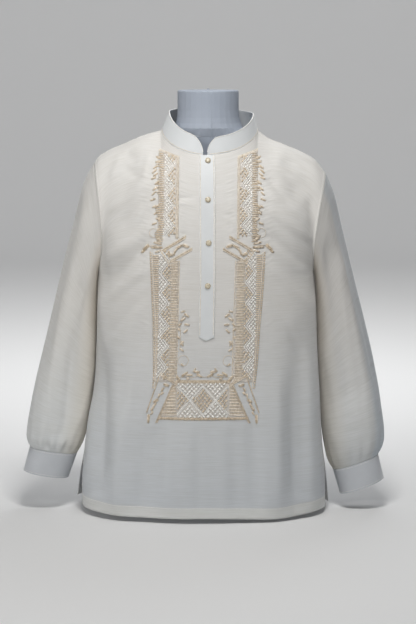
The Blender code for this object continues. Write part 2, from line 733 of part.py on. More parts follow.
def keep_off_body(side, share, turn, points):
    """Moves the underside of a sleeve outward where it would come too near the body."""
    cloud, ways, at_armhole = side_cloud(side)
    points = points.copy()
    under = (np.cos(turn) < -0.25) & (share > 0)
    room = (0.0014 + 0.0026 * ease(share / 0.2))[under]
    moved = points[under]
    for _ in range(60):
        near = nearest(moved, cloud)
        off = ((moved - cloud[near]) * ways[near]).sum(1)
        moved[:, 0] += side * 0.0004 * ((off < room) & ~at_armhole[near])
    points[under] = moved
    return points


def make_sleeve(side):
    """One sleeve, from the armhole seam to the cuff seam."""
    turns = np.arange(2 * ARMHOLE_ROWS) * math.pi / ARMHOLE_ROWS
    turn, share = np.meshgrid(turns, np.array(SLEEVE_STATIONS + CUFF_STATIONS))
    points, normals = sleeve_surface(side, share, turn)
    points = keep_off_body(side, share, turn, points)
    normals[0] = armhole_normal(side, turn[0])
    inner = points - normals * CLOTH
    name = "sleeve_left" if side < 0 else "sleeve_right"
    make_wall(name, points, inner, "cloth", closed=True)


def cuff_point(side, fall, turn):
    """A point of the cuff's plain band: fall 0 at the sleeve seam and 1 at the edge."""
    top = sleeve_ring(side, 1 + 0 * fall, turn)
    cuff = CUFF[side]
    n = SLEEVE_FULLNESS
    sine, cosine = np.sin(turn), np.cos(turn)
    fuller = (np.abs(sine) ** n + np.abs(cosine) ** n) ** (1 / n)
    reach = [cuff["outer"][0] + cuff["inner"][0], cuff["outer"][0] - cuff["inner"][0]]
    height = [cuff["outer"][1] + cuff["inner"][1], cuff["outer"][1] - cuff["inner"][1]]
    x = side * (reach[0] + reach[1] * cosine / fuller) / 2
    z = (height[0] + height[1] * cosine / fuller) / 2
    y = cuff["middle_y"] - cuff["half_depth"] * sine / fuller
    low = np.stack([x, y, z], axis=-1)
    gap = unit(low - top) * SEAM_GAP
    return top + gap + (low - top - gap) * fall[..., None]


def make_cuff(side):
    """A cuff: one strip round the wrist whose end laps over its start, behind the outer line."""
    whole = 2 * math.pi + CUFF_LAP
    turns = CUFF_START + np.linspace(0, whole, 31)
    turn, fall = np.meshgrid(turns, np.linspace(0, 1, 4))
    step = 0.01
    points = cuff_point(side, fall, turn)
    round_way = cuff_point(side, fall, turn + step) - cuff_point(side, fall, turn - step)
    down_way = cuff_point(side, 1 + 0 * fall, turn) - cuff_point(side, 0 * fall, turn)
    normals = unit(side * np.cross(down_way, round_way) * -1)
    lift = (BAND_CLOTH + 2 * SEAM_GAP) * ease((turn - CUFF_START - 2 * math.pi + CUFF_RISE) / CUFF_RISE)
    outer = points + normals * lift[..., None]
    inner = outer - normals * BAND_CLOTH
    name = "left" if side < 0 else "right"
    make_wall(f"cuff_{name}", outer, inner, "band")
    at = np.array([[CUFF_START + 2 * math.pi + CUFF_LAP * 0.45]])
    half = np.array([[0.5]])
    seat = cuff_point(side, half, at)[0, 0]
    round_way = cuff_point(side, half, at + step)[0, 0] - cuff_point(side, half, at - step)[0, 0]
    down_way = cuff_point(side, half + 0.5, at)[0, 0] - cuff_point(side, half - 0.5, at)[0, 0]
    way = unit(side * np.cross(down_way, round_way) * -1)
    lifted = seat + way * (BAND_CLOTH + 2 * SEAM_GAP + SEAM_GAP)
    make_button(f"cuff_button_{name}", lifted, way)


def make_button(name, seat, way):
    """A round button with a domed face, standing on its seat."""
    sides = 16
    way = unit(np.array(way, float))
    first = unit(np.cross(way, UP))
    second = np.cross(way, first)
    points = [seat + way * BUTTON_PROFILE[0][1]]
    for share, height in BUTTON_PROFILE:
        for k in range(sides):
            turn = 2 * math.pi * k / sides
            spoke = first * math.cos(turn) + second * math.sin(turn)
            points.append(seat + spoke * share * BUTTON_RADIUS + way * height)
    points.append(seat + way * BUTTON_PROFILE[-1][1])
    faces = []
    for k in range(sides):
        after = (k + 1) % sides
        faces.append((0, 1 + after, 1 + k))
        for ring in range(len(BUTTON_PROFILE) - 1):
            a, b = 1 + ring * sides + k, 1 + ring * sides + after
            faces.append((a, b, b + sides))
            faces.append((a, b + sides, a + sides))
        last = 1 + (len(BUTTON_PROFILE) - 1) * sides
        faces.append((last + k, last + after, len(points) - 1))
    button = make_object(name, points, faces, "button")
    button.data.flip_normals()
    return button


def collar_base(round_share):
    """The neckline seam all round: 0 at the back of the neck, -1 and 1 at the front opening."""
    front = panel_columns(FRONT)
    back = panel_columns(BACK)
    front, back = front[abs(front) <= NECK_SHARE + 1e-9], back[abs(back) < NECK_SHARE - 1e-9]
    around = [(k - 2 * NECK_SHARE * np.sign(k)) / (2 * NECK_SHARE) * -1 for k in front]
    stations = [(share, k, FRONT) for share, k in zip(around, front)]
    stations += [(k / (2 * NECK_SHARE), k, BACK) for k in back]
    stations.sort()
    known = np.array([share for share, _, _ in stations])
    places = np.array([top_point(face, np.array(k)) for _, k, face in stations])
    points = [np.interp(round_share, known, places[:, axis]) for axis in range(3)]
    return np.stack(points, axis=-1)


def collar_stations():
    """The shares round the neckline at which the panels have their own edge points."""
    front = np.array([k for k in panel_columns(FRONT) if 0 < k <= NECK_SHARE + 1e-9])
    back = np.array([k for k in panel_columns(BACK) if 0 < k < NECK_SHARE - 1e-9])
    return sorted(list(1 - front / (2 * NECK_SHARE)) + list(back / (2 * NECK_SHARE)))


def collar_surface(share, to_end, rows):
    """The band's outer points and wall directions: to_end is the run from the opening's end."""
    curve = np.where(share < 0, COLLAR_END[-1]["curve"], COLLAR_END[1]["curve"])
    rounded = np.sqrt(np.clip(1 - np.clip(1 - to_end / curve, 0, 1) ** 2.2, 0, 1))
    height = COLLAR_TIP + (COLLAR_HEIGHT.read("height", share) - COLLAR_TIP) * rounded
    lean = COLLAR_LEAN.read("inward", share) * height / COLLAR_HEIGHT.read("height", share)
    base = collar_base(share)
    out = neckline_normal(base)
    flat = unit(out * np.array([1, 1, 0]))
    along = unit(np.gradient(base, axis=0))
    up = unit(np.cross(out, along))
    up = up * np.sign(up[:, 2:3])
    face_way = np.cross(along, unit(UP * height[:, None] - flat * lean[:, None]))
    face_way = unit(face_way * np.sign((face_way * flat).sum(1))[:, None])
    outer = []
    walls = []
    for k in np.linspace(0, 1, rows):
        outer.append(base + up * SEAM_GAP + UP * (height * k)[:, None] - flat * (lean * k)[:, None])
        turned = ease(k / 0.33)
        walls.append(unit(out * (1 - turned) + face_way * turned))
    return np.array(outer), np.array(walls)


def make_collar():
    """The collar band: it stands on the neckline and its ends curve down to the opening."""
    halves = []
    for side in (-1, 1):
        end = COLLAR_END[side]
        shares = 1 - np.linspace(0, 1, 800)
        base = collar_base(side * shares)
        run = np.concatenate([[0], np.cumsum(np.linalg.norm(np.diff(base, axis=0), axis=1))])
        steps = [0, 0.0008, 0.0026, 0.0055, 0.0095, 0.0140, 0.0190]
        half = [(float(np.interp(end["from_middle"] + step, run, shares)), step) for step in steps]
        for station in collar_stations():
            step = float(np.interp(-station, -shares, run)) - end["from_middle"]
            if step > steps[-1] + 0.004:
                half.append((station, step))
        halves.append(sorted((side * share, step) for share, step in half))
    line = halves[0] + [(0.0, 1.0)] + halves[1]
    outer, walls = collar_surface(np.array([k for k, _ in line]), np.array([k for _, k in line]), 4)
    inner = outer - walls * BAND_CLOTH
    make_wall("collar", outer, inner, "band")


def make_plackets(across, rise, points, normals):
    """The placket over the slit, with its pointed end, and the plain one under it."""
    columns, rows = across[0], rise[:, 0]
    chosen = np.where(np.abs(columns) <= PLACKET_SHARE + 1e-6)[0]
    high = np.where((rows * UNDERARM_HEIGHT >= PLACKET_BOTTOM - 1e-4) | (rows >= 1))[0]
    grid = np.ix_(high, chosen)
    surface, way = points[grid].copy(), normals[grid].copy()
    way[-1] = way[-2]
    for column, k in enumerate(chosen):
        point = 1 - abs(columns[k]) / PLACKET_SHARE
        surface[0, column, 2] -= PLACKET_POINT * point
    last = surface[-1].copy()
    surface[-1] = last - unit(last - surface[-2]) * 0.0012
    inner = surface + way * SEAM_GAP
    outer = surface + way * (SEAM_GAP + BAND_CLOTH)
    make_wall("placket", outer, inner, "band")
    under_outer = surface - way * (CLOTH + SEAM_GAP)
    under_inner = under_outer - way * CLOTH
    make_wall("under_placket", under_outer, under_inner, "band")


def front_at(x, z):
    """Point and direction of the front panel at a place seen from the front."""
    across, rise = np.array(x / 0.33), np.array(1.0 if z > UNDERARM_HEIGHT else z / UNDERARM_HEIGHT)
    for _ in range(30):
        here = smooth_panel(FRONT, across, rise)
        step = 0.002
        to_side = smooth_panel(FRONT, across + step, rise) - here
        to_top = smooth_panel(FRONT, across, rise + step) - here
        change = np.array([[to_side[0], to_top[0]], [to_side[2], to_top[2]]]) / step
        move = np.linalg.solve(change, np.array([x - here[0], z - here[2]]))
        across = np.clip(across + move[0], -0.99, 0.99)
        rise = np.clip(rise + move[1], 0.01, 1.98)
        if abs(move).max() < 1e-7:
            break
    point, normal = panel_surface(FRONT, across, rise)
    return point, normal


def make_buttons():
    """The four buttons down the placket."""
    off = SEAM_GAP + BAND_CLOTH + SEAM_GAP
    for number, (height, aside) in enumerate(zip(BUTTON_HEIGHTS, BUTTON_OFFSETS), 1):
        point, normal = front_at(aside, height)
        make_button(f"button_{number}", point + normal * off, normal)


def make_embroidery(across, rise, points, normals):
    """The raised bib: a band down each side and a panel across below them."""
    columns, rows = across[0], rise[:, 0]
    band_column = int(np.argmin(np.abs(columns - BAND_EDGES[0])))
    height = points[:, band_column, 2]
    areas = {
        "embroidery_left": (-BAND_EDGES[1], -BAND_EDGES[0], BIB_TOP + 0.001, BAND_TOP),
        "embroidery_right": (BAND_EDGES[0], BAND_EDGES[1], BIB_TOP + 0.001, BAND_TOP),
        "embroidery_base": (-BIB_EDGE, BIB_EDGE, BIB_BOTTOM - 0.001, BIB_TOP - 0.001),
    }
    for name, (left, right, low, high) in areas.items():
        chosen = np.where((columns >= left - 1e-6) & (columns <= right + 1e-6))[0]
        band = np.where((height >= low) & (height <= high))[0]
        grid = np.ix_(band, chosen)
        inner = points[grid] + normals[grid] * SEAM_GAP
        outer = inner + normals[grid] * EMBROIDERY
        make_wall(name, outer, inner, "thread")


def form_crest():
    """Heights and half widths of the form's shoulders, just under the lower of the two ridges."""
    widths = np.linspace(FORM_CREST_END, FORM_CREST_START, 8)
    lower = np.minimum(RIDGE[1].read("height", widths), RIDGE[-1].read("height", widths))
    at_neck = ease((0.135 - widths) / 0.045)
    return lower - CLOTH * 1.15 - CREST_CLEARANCE - 0.005 * at_neck, widths


def cloth_lining():
    """Points and outward directions just inside the cloth round the shoulders and the neck."""
    points, normals = [], []
    for face in (FRONT, BACK):
        across, rise = np.meshgrid(np.linspace(-1, 1, 141), np.linspace(1.2, 2, 90))
        surface, ways = panel_surface(face, across, rise)
        near_neck = np.exp(-(((np.abs(across) - NECK_SHARE) / 0.08) ** 2))
        spare = CLOTH + CREST_CLEARANCE + 0.010 * ease((2 - rise) / 0.3) + 0.007 * near_neck
        points.append((surface - ways * spare[..., None]).reshape(-1, 3))
        normals.append(ways.reshape(-1, 3))
    outer, walls = collar_surface(np.linspace(-0.98, 0.98, 90), np.full(90, 0.05), 8)
    spare = BAND_CLOTH + 2.5 * CREST_CLEARANCE
    points.append((outer - walls * spare).reshape(-1, 3))
    normals.append(walls.reshape(-1, 3))
    return np.concatenate(points), np.concatenate(normals)


def keep_inside_cloth(points):
    """Draws the form's shoulders in towards their middle until they lie inside the cloth."""
    cloud, ways = cloth_lining()
    points = points.copy()
    high = (points[:, 2] > 0.60) & (points[:, 2] < 0.752)
    moved = points[high]
    for _ in range(90):
        near = nearest(moved, cloud)
        off = ((moved - cloud[near]) * ways[near]).sum(1)
        beyond = off > 0
        moved[:, 1] = np.where(beyond, 0.004 + (moved[:, 1] - 0.004) * 0.985, moved[:, 1])
        moved[:, 2] = np.where(beyond, moved[:, 2] - 0.0002, moved[:, 2])
        at_neck = beyond & (moved[:, 2] > 0.735)
        moved[:, 0] = np.where(at_neck, moved[:, 0] * 0.995, moved[:, 0])
    points[high] = moved
    return points


def form_rings():
    """Each ring of the form: height, half width, front, back and the ring's centre."""
    rings = []
    for height in (0.0, 0.004):
        inset = 0.004 if height == 0 else 0.0
        rings.append(
            (height, FORM.read("half_width", height) - inset, FORM.read("front", height) - inset,
             FORM.read("back", height) - inset, (0, 0))
        )
    for height in (0.05, 0.11, 0.17, 0.23, 0.29, 0.35, 0.41, 0.47, 0.52, 0.56, 0.60, 0.635, 0.66, 0.68):
        row = [FORM.read(name, height) for name in ("half_width", "front", "back")]
        rings.append((height, *row, (0, 0.002)))
    crest_heights, crest_widths = form_crest()
    low = FORM.rows()[-1]
    for level, width in zip(crest_heights, crest_widths):
        share = (crest_widths[0] - width) / (crest_widths[0] - crest_widths[-1])
        front = low["front"] * 0.93 + (NECK_RADIUS + 0.008 - low["front"] * 0.93) * share
        back = low["back"] * 0.93 + (NECK_RADIUS - 0.006 - low["back"] * 0.93) * share
        rings.append((level, width, front, back, (0.0, 0.006 - 0.006 * share)))
    for height, wider in ((0.756, 0.0080), (0.765, 0.0040), (0.776, 0.0013), (0.790, 0), (0.810, 0)):
        rings.append((height, NECK_RADIUS + wider, NECK_RADIUS + wider / 2, NECK_RADIUS, NECK_CENTRE))
    edge = NECK_EDGE
    for turn in (0.0, 35.0, 65.0, 90.0):
        angle = math.radians(turn)
        radius = NECK_RADIUS - edge + edge * math.cos(angle)
        rings.append((NECK_TOP - edge + edge * math.sin(angle), radius, radius, radius, NECK_CENTRE))
    for height, radius in ((0, STUD_RADIUS * 1.5), (0.0008, STUD_RADIUS), (STUD_HEIGHT, STUD_RADIUS * 0.7)):
        rings.append((NECK_TOP + height, radius, radius, radius, NECK_CENTRE))
    return rings


def make_form():
    """The limbless form: one closed body from its flat base to the stud on its neck."""
    sides = 32
    rings = form_rings()
    points, faces = [], []
    for height, width, front, back, centre in rings:
        full = FORM_FULLNESS if height < 0.75 else 2.0
        for k in range(sides):
            turn = 2 * math.pi * k / sides
            sine, cosine = math.sin(turn), math.cos(turn)
            fuller = (abs(sine) ** full + abs(cosine) ** full) ** (1 / full)
            depth = front if sine < 0 else back
            x = centre[0] + width * cosine / fuller
            y = centre[1] + depth * sine / fuller
            points.append((x, y, height))
    points = keep_inside_cloth(np.array(points))
    for ring in range(len(rings) - 1):
        for k in range(sides):
            a, b = ring * sides + k, ring * sides + (k + 1) % sides
            faces.append((a, b, b + sides))
            faces.append((a, b + sides, a + sides))
    top = (len(rings) - 1) * sides
    faces.append(tuple(range(top, top + sides)))
    faces.append(tuple(reversed(range(sides))))
    make_object("dress_form", points, faces, "form")


def main():
    """Clears the scene and builds every piece."""
    for obj in list(bpy.data.objects):
        bpy.data.objects.remove(obj)
    grid = make_panel(FRONT)
    make_panel(BACK)
    make_plackets(*grid)
    make_embroidery(*grid)
    make_buttons()
    make_collar()
    for side in (-1, 1):
        make_sleeve(side)
        make_cuff(side)
    make_form()


main()
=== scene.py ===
"""Looks of a barong tagalog shirt, worn by a limbless dress form.

Metres, +Z up, the shirt faces -Y. Every cloth piece is a thin shell on the form of its
solid, with finer folds. The embroidery, seams and hems are made of single stitches.
"""

import math

import bpy
import numpy as np
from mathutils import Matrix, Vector
from mathutils.bvhtree import BVHTree


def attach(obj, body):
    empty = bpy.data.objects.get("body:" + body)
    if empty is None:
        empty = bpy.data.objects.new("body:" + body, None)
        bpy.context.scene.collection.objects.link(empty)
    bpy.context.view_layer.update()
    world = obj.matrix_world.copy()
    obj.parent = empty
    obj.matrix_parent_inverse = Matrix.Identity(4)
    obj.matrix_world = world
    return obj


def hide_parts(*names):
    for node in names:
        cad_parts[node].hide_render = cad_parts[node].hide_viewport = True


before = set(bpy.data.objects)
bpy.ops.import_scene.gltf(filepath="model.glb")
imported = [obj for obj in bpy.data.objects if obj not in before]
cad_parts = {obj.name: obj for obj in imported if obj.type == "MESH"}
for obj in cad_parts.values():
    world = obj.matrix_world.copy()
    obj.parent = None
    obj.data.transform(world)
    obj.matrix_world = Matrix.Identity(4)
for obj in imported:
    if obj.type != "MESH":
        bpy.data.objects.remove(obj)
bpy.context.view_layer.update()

# Cloth
THIN = 0.0005
BAND_THIN = 0.0015
SEAM_GAP = 0.0003
ARMHOLE_GAP = 0.0005
LAYER_GAP = 0.0002
UP = np.array([0.0, 0.0, 1.0])
LEVEL = np.array([1.0, 1.0, 0.0])
SIDE_NAMES = {-1: "left", 1: "right"}

# The two faces of the body: the sign is the way each one looks along Y
FRONT = -1
BACK = 1

# Each face's name, how finely it is divided across and down, the width and length of its flat cut,
# and the place along Y and the height of its neckline's middle
PANEL = {
    FRONT: {"name": "front", "grid": (160, 230), "cut": (0.64, 0.74), "neck": (-0.086, 0.7065)},
    BACK: {"name": "back", "grid": (130, 180), "cut": (0.64, 0.76), "neck": (0.066, 0.7560)},
}


class Table:
    """A short table with named columns, read smoothly by its first one.

    Its lengths are written in millimetres and kept in metres. The columns in PLAIN are no lengths.
    """

    PLAIN = "across share round angle start end half_width from_angle to_angle size power red green blue"

    def __init__(self, names, rows):
        self.names = names.split()
        self.columns = {}
        for name, values in zip(self.names, np.array(rows, float).T):
            self.columns[name] = values if name in self.PLAIN.split() else np.round(values / 1000, 7)
        self.key = self.columns[self.names[0]]

    def read(self, name, at):
        """Cubic curve through one column, held level past its ends."""
        values = self.columns[name]
        slopes = np.gradient(values, self.key)
        at = np.clip(at, self.key[0], self.key[-1])
        i = np.clip(np.searchsorted(self.key, at, side="right") - 1, 0, len(self.key) - 2)
        span = self.key[i + 1] - self.key[i]
        t = (at - self.key[i]) / span
        return (
            (1 + 2 * t) * (1 - t) ** 2 * values[i]
            + t * (1 - t) ** 2 * span * slopes[i]
            + t * t * (3 - 2 * t) * values[i + 1]
            - t * t * (1 - t) * span * slopes[i + 1]
        )

    def rows(self):
        """The rows as dictionaries."""
        return [dict(zip(self.names, map(float, row))) for row in zip(*self.columns.values())]


# The hanging body: how far its outer surface reaches each way at a height
BODY = Table(
    "height left right front back middle",
    [
        (0, 250.5, 233, 141, 128, -2), (80, 248, 232, 141, 126, -2), (155, 238.5, 225, 140, 123, -2),
        (255, 223.5, 219.5, 139, 118, -2), (355, 218, 215, 138, 115, -2),
        (420, 216, 212.5, 138, 116, -1), (475, 213.5, 208.5, 137, 119, 0),
    ],
)
UNDERARM_HEIGHT = 0.475
SECTION_FULLNESS = 2.35
SIDE_SEAM_Y = 0.004

# The hem's height above the base, from the left side seam (-1) to the right (1)
HEM = {
    FRONT: Table(
        "across height",
        [
            (-1, 15), (-0.7, 12), (-0.3, 9.5), (0, 10), (0.4, 6.5), (0.75, 10.5), (1, 8),
        ],
    ),
    BACK: Table(
        "across height",
        [
            (-1, 18), (-0.4, 13), (0.3, 11), (1, 8),
        ],
    ),
}
HEM_DEPTH = 0.0225
HEM_RISE = HEM_DEPTH / UNDERARM_HEIGHT
FACING_WIDTH = 0.052
VENT_TOP = 0.135

# The side vents: how far each panel's edge stands from the side seam at the hem
VENT = {
    (FRONT, -1): {"along_y": 0.006, "outward": -0.002},
    (FRONT, 1): {"along_y": 0.006, "outward": 0.001},
    (BACK, -1): {"along_y": 0.044, "outward": 0.014},
    (BACK, 1): {"along_y": 0.020, "outward": 0.010},
}

# Shoulder ridge, from the neck outward: height at a distance from the middle
RIDGE = {
    -1: Table(
        "reach height",
        [
            (89.4, 750), (130, 738), (163, 723.5), (200, 706.5), (213, 697), (221, 686),
        ],
    ),
    1: Table(
        "reach height",
        [
            (98, 750), (114, 737.5), (149, 722.5), (184.5, 707), (213, 689), (231, 665),
        ],
    ),
}
NECK_POINT_Y = 0.000
SHOULDER_POINT_Y = 0.012
NECK_SHARE = 0.28
NECK_BLEND = 0.20
NECK_MIDDLE = -0.002

# How far round the upper panel has turned from upright where it meets its top edge
TURN_AT_NECKLINE = math.radians(52)
TURN_AT_SHOULDER = math.radians(80)

# Armholes: half the seam's depth along Y, and how far it is scooped towards the middle
ARMHOLE = {
    -1: {"front": 0.066, "back": 0.070, "scoop": 0.0105},
    1: {"front": 0.066, "back": 0.070, "scoop": 0.008},
}
UNDERARM_Y = SIDE_SEAM_Y

# Sleeves, from armhole to cuff: the outer and the inner line, seen from the front, and the depth
SLEEVE = {
    -1: Table(
        "share outer_reach outer_height inner_reach inner_height middle_y half_depth",
        [
            (0, 221, 686, 213.5, 475, 8, 66), (0.1, 242, 647, 216, 453, 22, 71),
            (0.22, 265, 566, 216.4, 408, 38, 74), (0.38, 290, 472, 215, 348, 48, 73),
            (0.54, 314, 372, 218, 285, 47, 69), (0.7, 335, 285, 225.5, 223, 40, 64),
            (0.84, 351, 209, 234.5, 170, 26, 58), (0.93, 359, 156, 244, 140, 15, 51),
            (0.97, 358.5, 140, 250, 127, 10, 44), (1, 353, 124.5, 259, 111, 8, 36),
        ],
    ),
    1: Table(
        "share outer_reach outer_height inner_reach inner_height middle_y half_depth",
        [
            (0, 231, 665, 208.5, 475, 8, 66), (0.1, 248, 626, 211.2, 451, 22, 71),
            (0.22, 265, 560, 212.2, 405, 38, 74), (0.38, 290, 460, 211, 345, 48, 73),
            (0.54, 313.5, 368, 213.5, 282, 47, 69), (0.7, 332.5, 285, 220, 219, 40, 64),
            (0.84, 345, 208, 226, 162, 26, 58), (0.93, 350.5, 153, 233, 120, 15, 51),
            (0.97, 348, 130, 239, 98, 10, 44), (1, 339, 109, 249, 78.5, 8, 36),
        ],
    ),
}
SLEEVE_FULLNESS = 2.15
ARMHOLE_BLEND = 0.30

# Cuffs: the lower edge's outer and inner point, and the lap that buttons behind the wrist
CUFF = {
    -1: ((0.3660, 0.0765), (0.2765, 0.0620)),
    1: ((0.3510, 0.0610), (0.2637, 0.0290)),
}
CUFF_MIDDLE_Y = 0.008
CUFF_HALF_DEPTH = 0.037
CUFF_LIFT = 0.0018 + 2 * SEAM_GAP
CUFF_START = math.radians(292)
CUFF_LAP = math.radians(34)
CUFF_RISE = math.radians(38)

# Collar band: its lean, its height round the neck, and the curved ends above the opening
COLLAR_HEIGHT = Table(
    "round height",
    [
        (-1, 34.5), (-0.5, 37), (0, 36.5), (0.5, 32), (1, 34),
    ],
)
COLLAR_LEAN = Table(
    "round inward",
    [
        (-1, 6), (-0.5, 15), (0, 8), (0.5, 8.5), (1, 5),
    ],
)
COLLAR_END = {-1: {"from_middle": 0.0065, "curve": 0.031}, 1: {"from_middle": 0.0020, "curve": 0.029}}
COLLAR_TIP = 0.0018

# Front opening: the slit, the two plackets over and under it, and the buttons down it
SLIT_SHARE = 0.0030
PLACKET_SHARE = 0.0430
SLIT_BOTTOM = 0.388
PLACKET_BOTTOM = 0.3605
PLACKET_POINT = 0.0070
SLIT_RISE = SLIT_BOTTOM / UNDERARM_HEIGHT
PLACKET_RISE = PLACKET_BOTTOM / UNDERARM_HEIGHT
CAD_CLOTH = 0.0012
BUTTON_HEIGHTS = (0.6955, 0.6230, 0.5422, 0.4610)
BUTTON_OFFSETS = (0.0008, 0.0010, 0.0022, 0.0006)
BUTTON_RADIUS = 0.0056
BUTTON_GAP = 0.0002

# Soft folds in the body, seen from the front: from one point to another, positive is outward
FOLDS = {
    FRONT: Table(
        "from_x from_z to_x to_z width depth",
        [
            (-70, 700, -185, 500, 20, 4), (-150, 690, -165, 560, 18, -4),
            (-120, 600, -200, 430, 22, -5), (-75, 560, -175, 330, 26, 5), (-200, 300, -215, 40, 20, -6),
            (-165, 240, -180, 20, 24, 6), (-100, 190, -115, 10, 26, -5), (-30, 200, -40, 10, 30, 5),
            (45, 190, 60, 10, 26, -4), (120, 250, 125, 10, 26, 6), (175, 330, 180, 20, 22, -7),
            (205, 280, 212, 40, 16, 4), (110, 640, 200, 560, 22, 5), (100, 570, 195, 440, 24, -5),
            (85, 480, 170, 360, 22, 4), (150, 700, 175, 620, 18, -4),
        ],
    ),
    BACK: Table(
        "from_x from_z to_x to_z width depth",
        [
            (-60, 690, -120, 480, 26, 5), (-150, 600, -175, 380, 24, -6), (0, 640, 5, 380, 30, -5),
            (70, 690, 125, 470, 26, 5), (160, 600, 170, 360, 22, -6), (-180, 330, -195, 30, 26, 7),
            (-110, 360, -120, 20, 26, -8), (-40, 330, -45, 10, 28, 8), (35, 350, 40, 10, 26, -7),
            (110, 330, 115, 10, 26, 8), (175, 340, 185, 30, 22, -6),
        ],
    ),
}

# Finer creases of the front and the back, in the same terms
CREASES = {
    FRONT: Table(
        "from_x from_z to_x to_z width depth",
        [
            (-156, 708, -136, 692, 11, -2.6), (-160, 682, -132, 664, 11, -2.8),
            (-170, 700, -186, 660, 7, 2), (-112, 708, -122, 660, 7.5, 2.2),
            (-118, 652, -182, 600, 9, 3), (-112, 628, -172, 566, 8, -2.6),
            (-100, 578, -182, 508, 13, 4.6), (-112, 540, -176, 470, 9.5, -3.4),
            (-118, 490, -190, 432, 9, 2.8), (-122, 440, -186, 360, 11, -2.8),
            (-205, 560, -200, 470, 7, -2.2), (-206, 440, -200, 330, 8, 2.6),
            (-208, 350, -206, 80, 13, -4.6), (-138, 320, -162, 140, 13, 3),
            (-232, 230, -238, 60, 8, 2.4), (-170, 210, -172, 30, 13, 4),
            (-128, 160, -130, 25, 11, -3.4), (-74, 170, -80, 25, 15, 3.6),
            (-18, 180, -20, 25, 12, -2.8), (30, 180, 36, 25, 15, 3.4), (88, 190, 94, 25, 13, -3.6),
            (136, 280, 138, 40, 12, 3.6), (164, 250, 170, 40, 10, -3.4), (196, 330, 200, 60, 9, 3),
            (118, 440, 186, 320, 11, -3), (114, 500, 190, 420, 10, 3), (116, 560, 192, 490, 9, -3),
            (118, 600, 196, 545, 8.5, 2.6), (196, 616, 205, 560, 9, -3.4),
            (116, 660, 158, 612, 9.5, -3.6), (128, 696, 178, 660, 12, 3.4), (104, 712, 205, 672, 9, -2),
            (140, 708, 205, 688, 9, 1.6), (40, 640, 50, 520, 8, 1.4), (-56, 626, -16, 629, 3.4, -1.6),
            (-54, 617, -20, 612, 4.5, 1.2), (-36, 590, -50, 480, 8, -1.4), (20, 600, 52, 590, 4, -1.2),
            (-44, 350, 40, 338, 7, 1), (-30, 318, 34, 322, 6, -1),
        ],
    ),
    BACK: Table(
        "from_x from_z to_x to_z width depth",
        [
            (-110, 700, -170, 600, 9, 1.6), (-60, 600, -140, 500, 10, -1.4),
            (-20, 560, -30, 400, 12, 1.4), (40, 620, 70, 460, 11, -1.4), (110, 690, 180, 600, 9, 1.6),
            (-190, 500, -150, 380, 9, 1.4), (190, 500, 150, 390, 9, -1.4),
            (-150, 300, -158, 40, 11, 1.8), (-75, 280, -80, 30, 11, -1.6), (0, 280, -4, 30, 12, 1.4),
            (75, 260, 80, 30, 11, 1.4), (145, 280, 150, 40, 10, -1.6),
        ],
    ),
}

# Folds along the sleeves: the angle round from the outer line (90 is the front), the stretch
# of the sleeve that each one crosses, its half width in degrees, and its depth
SLEEVE_FOLDS = {
    -1: Table(
        "angle start end half_width depth",
        [
            (28, 0.1, 0.75, 20, -5), (62, 0.05, 0.95, 22, 4.5), (105, 0.2, 0.98, 22, -6),
            (140, 0.35, 0.9, 16, 4), (215, 0.25, 0.95, 22, -6), (255, 0.1, 0.8, 20, 5),
            (305, 0.15, 0.95, 22, -5), (75, 0.9, 1, 9, -4), (120, 0.91, 1, 8, -4),
        ],
    ),
    1: Table(
        "angle start end half_width depth",
        [
            (30, 0.05, 0.8, 18, -4.5), (58, 0.2, 0.96, 18, 4.5), (92, 0.1, 0.85, 20, -5.5),
            (128, 0.4, 0.98, 20, 5), (210, 0.2, 0.9, 22, -6), (250, 0.1, 0.95, 20, 5),
            (300, 0.25, 0.9, 22, -5), (40, 0.9, 1, 8, -4.5), (100, 0.91, 1, 9, -3.5),
        ],
    ),
}

# Finer creases of the sleeves: each one drifts from one angle to another on its way down
SLEEVE_CREASES = {
    -1: Table(
        "from_angle to_angle start end half_width depth",
        [
            (70, 40, 0.02, 0.3, 7, 1.6), (95, 60, 0.04, 0.4, 6, -1.4), (120, 85, 0.08, 0.5, 7, 1.4),
            (48, 75, 0.4, 0.92, 7, 1.5), (85, 110, 0.5, 0.97, 7, -1.6), (20, 40, 0.55, 0.95, 8, 1.4),
            (150, 125, 0.45, 0.97, 7, 1.4), (200, 230, 0.1, 0.6, 8, 1.6),
            (240, 215, 0.4, 0.95, 8, -1.6), (280, 260, 0.2, 0.9, 8, 1.6), (330, 345, 0.3, 0.9, 8, -1.4),
        ],
    ),
    1: Table(
        "from_angle to_angle start end half_width depth",
        [
            (75, 50, 0.02, 0.35, 7, 1.6), (100, 70, 0.05, 0.42, 6, -1.4), (60, 72, 0.3, 0.9, 6, -1.8),
            (115, 90, 0.4, 0.95, 7, 1.5), (35, 45, 0.45, 0.95, 7, 1.6), (15, 25, 0.2, 0.85, 8, -1.2),
            (140, 120, 0.3, 0.95, 7, -1.4), (205, 230, 0.1, 0.6, 8, 1.6),
            (245, 220, 0.4, 0.95, 8, -1.6), (285, 262, 0.2, 0.9, 8, 1.6), (325, 340, 0.3, 0.9, 8, -1.4),
        ],
    ),
}
PUCKER_DEPTH = 0.00075
GATHER_COUNT = 17
GATHER_DEPTH = 0.0011

